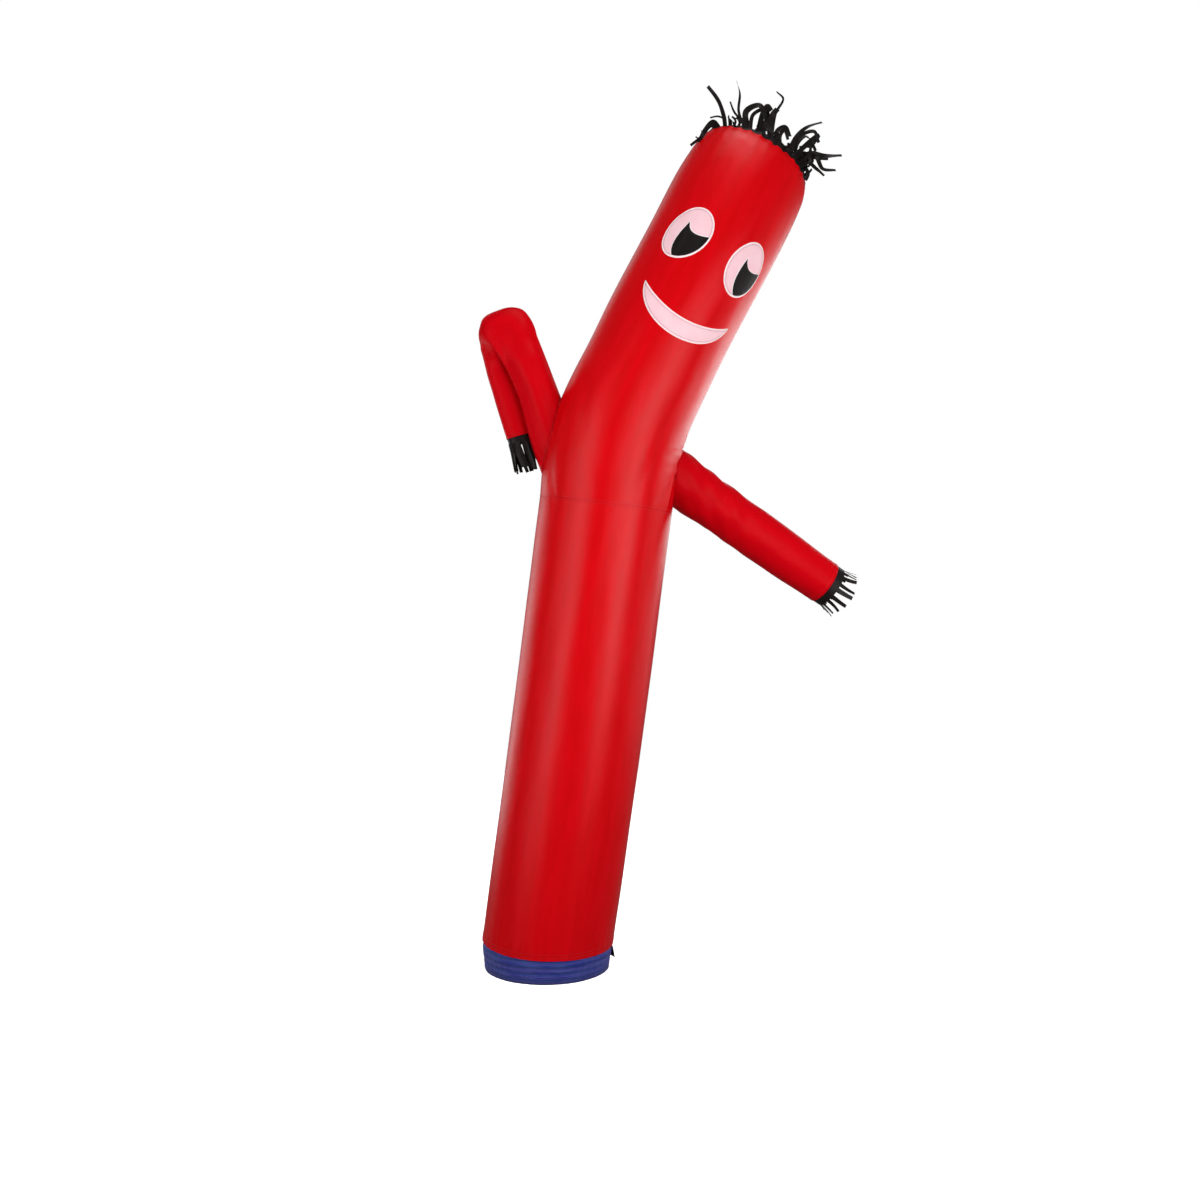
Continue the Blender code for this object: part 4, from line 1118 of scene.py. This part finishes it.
EDGE_BULGE, EDGE_TUCK = 0.0009, 0.0004      # how high an edge rises in its middle, and dips at its sides


def border(name, outline, lift, width):
    """A narrow raised edge round a patch, lying half over its outline."""
    outer, inner = inset(outline, -width * 0.35), inset(outline, width * 0.65)
    rises = [(share, lift + EDGE_BULGE * math.sin(math.pi * share) - (EDGE_TUCK if share in (0.0, 1.0) else 0.0))
             for share in np.linspace(0, 1, 5)]
    points = np.stack([head_points(outer + (inner - outer) * share, rise) for share, rise in rises])
    cloth = stacked(run_lengths(np.vstack([outline, outline[:1]])), np.linspace(0, width, 5)[:, None])
    return dress(sheet_mesh(name, points, cloth, PALE_EDGE, wrap=True, thickness=0.0), "pale_pink_cloth")


def patch_stitches(name, outline, distance):
    line = inset(outline, distance)
    return stitches(name, head_points(line, 0.0015), head_normals(line), DARK_THREAD,
                    pitch=0.0042, length=0.0032, thick=0.00045)


# What differs from patch to patch: how far off the body's cloth it and its edge lie, and what it is cut from.
Kind = collections.namedtuple("Kind", "lift edge_lift material slot")
WHITE = Kind(0.0006, 0.0010, PINK_CLOTH, "pale_pink_cloth")
DARK = Kind(0.0018, 0.0020, BLACK_NYLON, "black_nylon")


def face_part(node, outline, kind, edge_width, stitched_in=None):
    """A patch of the face, and its edge and stitches."""
    piece = patch(f"{node}_patch", node, outline, kind.lift, kind.material, kind.slot)
    extras = [border(f"{node}_edge", outline, kind.edge_lift, edge_width)]
    if stitched_in:
        extras.append(patch_stitches(f"{node}_stitches", outline, stitched_in))
    return piece, extras


for eye in EYES:
    oval = in_oval(eye, on_circle(0.0, 360.0, 121)[:-1])
    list(face_part(f"eye_{eye.side}", oval, WHITE, 0.0044, 0.0062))
    drop = pupil_outline(eye)
    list(face_part(f"pupil_{eye.side}", drop, DARK, 0.0032))
smile = mouth_outline()
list(face_part("mouth", smile, WHITE, 0.0042, 0.0060))


# ---- Seams ----

lower_rows = [body_row("hem_stitches_low", HEM_HEIGHT + 0.004 + hem_rise(ROW_ANGLES)),
              body_row("hem_stitches_high", HEM_HEIGHT + 0.014 + 0.97 * hem_rise(ROW_ANGLES)),
              body_row("seam_stitches_low", SEAM_HEIGHT - 0.005)]
upper_rows = [body_row("seam_stitches_high", SEAM_HEIGHT + 0.005)]


def seam_roll(name, path, radius):
    """The narrow rolled edge of a sleeve's sewn root, as a low ridge along it."""
    centre, _, _, along = body_frame(path[:, 2])
    off = path - centre
    normals = unit(off - dot(off, along)[:, None] * along)
    side = unit(np.cross(normals, unit(np.roll(path, -1, 0) - np.roll(path, 1, 0))))
    ring = [path + side * radius * math.cos(angle) + normals * radius * 0.7 * math.sin(angle)
            for angle in round_angles(8, 0.0)]
    points = np.stack(ring + ring[:1]).transpose(1, 0, 2)
    points = np.vstack([points, points[:1]])
    cloth = stacked(np.linspace(0, 2 * math.pi * radius, 9), run_lengths(points[:, 0])[:, None])
    return dress(sheet_mesh(name, points, cloth, RED_NYLON, thickness=0.0), "red_nylon")


def beside(roots):
    """The stations of the stitches that run beside an arm's root."""
    return np.interp(ARM_ROW_ANGLES, np.append(ARM_ANGLES, math.pi), np.append(roots, roots[0])) + 0.007


def arm_row(name, point, stations):
    """Stitches round an arm."""
    path, inner = point(stations, ARM_ROW_ANGLES, 0.0002), point(stations, ARM_ROW_ANGLES, -0.02)
    return stitches(name, path, unit(path - inner), RED_THREAD)


left_roll = seam_roll("folded_arm_seam", left_seam, 0.0016)
right_roll = seam_roll("reaching_arm_seam", right_seam, 0.0018)
left_rows = [arm_row("folded_arm_root_stitches", folded_arm_point, beside(left_root)),
             arm_row("folded_arm_hem_stitches", folded_arm_point, LEFT_END - 0.010)]
right_rows = [arm_row("reaching_arm_root_stitches", reaching_arm_point, beside(right_root)),
              arm_row("reaching_arm_hem_stitches", reaching_arm_point, RIGHT_END - 0.010)]


# ---- Floor, light and camera ----

FLOOR_RADIUS = 4.0
WHITE_LIGHT = (1.0, 1.0, 1.0, 1.0)

floor_mesh = bpy.data.meshes.new("floor")
floor_mesh.from_pydata([(FLOOR_RADIUS * math.cos(angle), FLOOR_RADIUS * math.sin(angle), 0.0)
                        for angle in round_angles(64)], [], [list(range(64))])
floor = link_mesh("floor", floor_mesh, Nodes("floor_white").finish(
    Base_Color=(0.90, 0.90, 0.90, 1.0), Roughness=0.9, Emission_Color=WHITE_LIGHT, Emission_Strength=0.90))
floor.visible_glossy = floor.visible_diffuse = False


def studio(dim):
    """White all round behind the figure, and a dimmer room for the light and the reflections."""
    world = bpy.data.worlds.new("studio")
    world.use_nodes = True
    tree = world.node_tree
    seen = tree.nodes["Background"]
    room, mix, path = (tree.nodes.new("ShaderNode" + kind) for kind in ("Background", "MixShader", "LightPath"))
    seen.inputs["Color"].default_value = room.inputs["Color"].default_value = WHITE_LIGHT
    room.inputs["Strength"].default_value = dim
    tree.links.new(path.outputs["Is Camera Ray"], mix.inputs["Fac"])
    tree.links.new(room.outputs[0], mix.inputs[1])
    tree.links.new(seen.outputs[0], mix.inputs[2])
    tree.links.new(mix.outputs[0], tree.nodes["World Output"].inputs["Surface"])
    bpy.context.scene.world = world


studio(0.12)
bpy.context.scene.view_settings.view_transform = "Standard"


def soft_box(name, bearing, distance, width, low, high, brightness, aim=None, spread=180.0):
    """A soft box that faces the figure. Its bearing is from the camera's side, towards +X; aim is the height it
    faces."""
    middle = Vector(FOOT_CENTRE) + Vector((0.17, 0.0, (low + high) / 2))
    data = bpy.data.lights.new(name, "AREA")
    data.shape, data.size, data.size_y, data.spread = "RECTANGLE", width, high - low, math.radians(spread)
    half = math.radians(spread / 2)
    gathered = math.tan(half) / (math.tan(half) - half) if spread < 179 else 1.0
    data.energy = brightness * math.pi * width * (high - low) / gathered
    light = bpy.data.objects.new(name, data)
    light.visible_camera = False
    bearing = math.radians(bearing)
    light.location = middle + Vector((distance * math.sin(bearing), -distance * math.cos(bearing), 0.0))
    target = Vector((middle.x, middle.y, middle.z if aim is None else aim))
    light.rotation_euler = (target - light.location).to_track_quat("-Z", "Y").to_euler()
    bpy.context.scene.collection.objects.link(light)


# Name, bearing, distance, width, low, high and brightness.
soft_box("front_left", -46.0, 2.6, 1.6, 0.3, 3.1, 3.3)
soft_box("front_right", 38.0, 2.6, 1.75, 0.3, 2.45, 4.6)
soft_box("side_left", -130.0, 3.5, 2.4, 0.0, 2.2, 1.7)
soft_box("side_right", 112.0, 3.5, 3.4, 0.0, 2.6, 0.7)
soft_box("low_right", 124.0, 4.0, 3.2, 0.9, 2.0, 9.5, aim=4.25, spread=80.0)
soft_box("rim_right", 150.0, 4.0, 2.0, 1.2, 3.0, 1.6)
soft_box("rim_left", -156.0, 4.0, 2.4, 3.2, 5.4, 0.6)
soft_box("above", 38.0, 1.3, 1.6, 4.3, 7.6, 5.6, aim=1.4)

camera_data = bpy.data.cameras.new("camera")
camera_data.sensor_width = 36.0
camera_data.lens = 39.15
camera_data.shift_y = -0.0367
camera = bpy.data.objects.new("camera", camera_data)
camera.location = Vector(FOOT_CENTRE) + Vector((0.183, -4.5, 1.41))
camera.rotation_euler = (math.radians(90.0), 0.0, 0.0)
bpy.context.scene.collection.objects.link(camera)
bpy.context.scene.camera = camera
